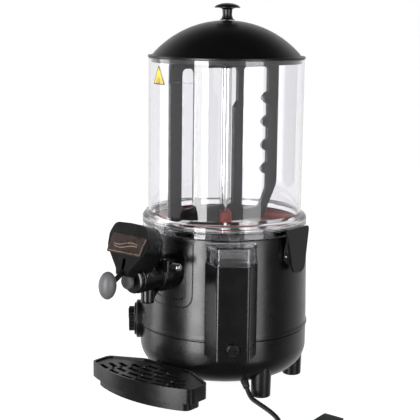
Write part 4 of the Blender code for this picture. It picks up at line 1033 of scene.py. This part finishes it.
def make_world():
    """White behind the object, dim on the camera's side and dark overhead, as in a studio."""
    sky = bpy.data.worlds.new("studio")
    sky.use_nodes = True
    scene.world = sky
    nodes, links = sky.node_tree.nodes, sky.node_tree.links
    nodes.clear()
    direction = nodes.new("ShaderNodeTexCoord").outputs["Generated"]
    behind = world_level(nodes, links, direction, (-0.62, 0.78, 0.0), (-0.3, 0.09), (0.9, 0.8))
    above = world_level(nodes, links, direction, (0.0, 0.0, 1.0), (0.2, 1.0), (0.85, 0.04))
    both = nodes.new("ShaderNodeMath")
    both.operation = "MULTIPLY"
    links.new(behind, both.inputs[0])
    links.new(above, both.inputs[1])
    level = nodes.new("ShaderNodeMix")
    links.new(seen_directly(nodes, links), level.inputs["Factor"])
    links.new(both.outputs["Value"], level.inputs["A"])
    level.inputs["B"].default_value = 1.0
    background = nodes.new("ShaderNodeBackground")
    background.inputs["Color"].default_value = (1.0, 1.0, 1.0, 1.0)
    links.new(level.outputs["Result"], background.inputs["Strength"])
    output = nodes.new("ShaderNodeOutputWorld")
    links.new(background.outputs["Background"], output.inputs["Surface"])


def softbox(name, azimuth, distance, height, size, power):
    light = bpy.data.lights.new(name, "AREA")
    light.shape = "RECTANGLE"
    light.size, light.size_y = size
    light.energy = power
    obj = bpy.data.objects.new(name, light)
    turn = math.radians(azimuth)
    obj.location = Vector((math.sin(turn) * distance, 0.0687 - math.cos(turn) * distance, height))
    aim = Vector((0.0, 0.0687, height)) - obj.location
    obj.rotation_euler = aim.to_track_quat("-Z", "Y").to_euler()
    obj.visible_camera = False
    scene.collection.objects.link(obj)


def make_camera():
    data = bpy.data.cameras.new("view")
    data.sensor_width = 36.0
    data.lens = 92.23
    data.clip_start = 0.05
    camera = bpy.data.objects.new("view", data)
    turn = Matrix.Rotation(math.radians(39.285), 4, "Z") @ Matrix.Rotation(math.radians(90 - 10.19), 4, "X")
    turn = turn @ Matrix.Rotation(math.radians(0.693), 4, "Z")
    camera.matrix_world = Matrix.Translation((1.02043, -1.21415, 0.5595)) @ turn
    scene.collection.objects.link(camera)
    scene.camera = camera


make_body()
make_feet()
make_tank()
make_lid()
make_stirrer()
make_column()
make_dial()
make_switch()
make_latch("right", 1)
make_latch("left", -1)
make_tap()
make_hood()
make_lever()
make_tray()
make_grille()
make_stickers()
lead, lead_exit, lead_length = make_cord()
dress_frame()
make_stage()
make_world()
# Azimuth, distance, height, size (wide, high) and power of each light, in metres and watts.
softbox("left_strip", 3.0, 1.9, 0.48, (0.70, 1.95), 54.0)
softbox("right_strip", 78.6, 1.9, 0.48, (0.90, 1.95), 25.0)
softbox("side_strip", -62.0, 1.9, 0.48, (0.7, 1.95), 12.0)
make_camera()
scene.view_settings.view_transform = "Standard"
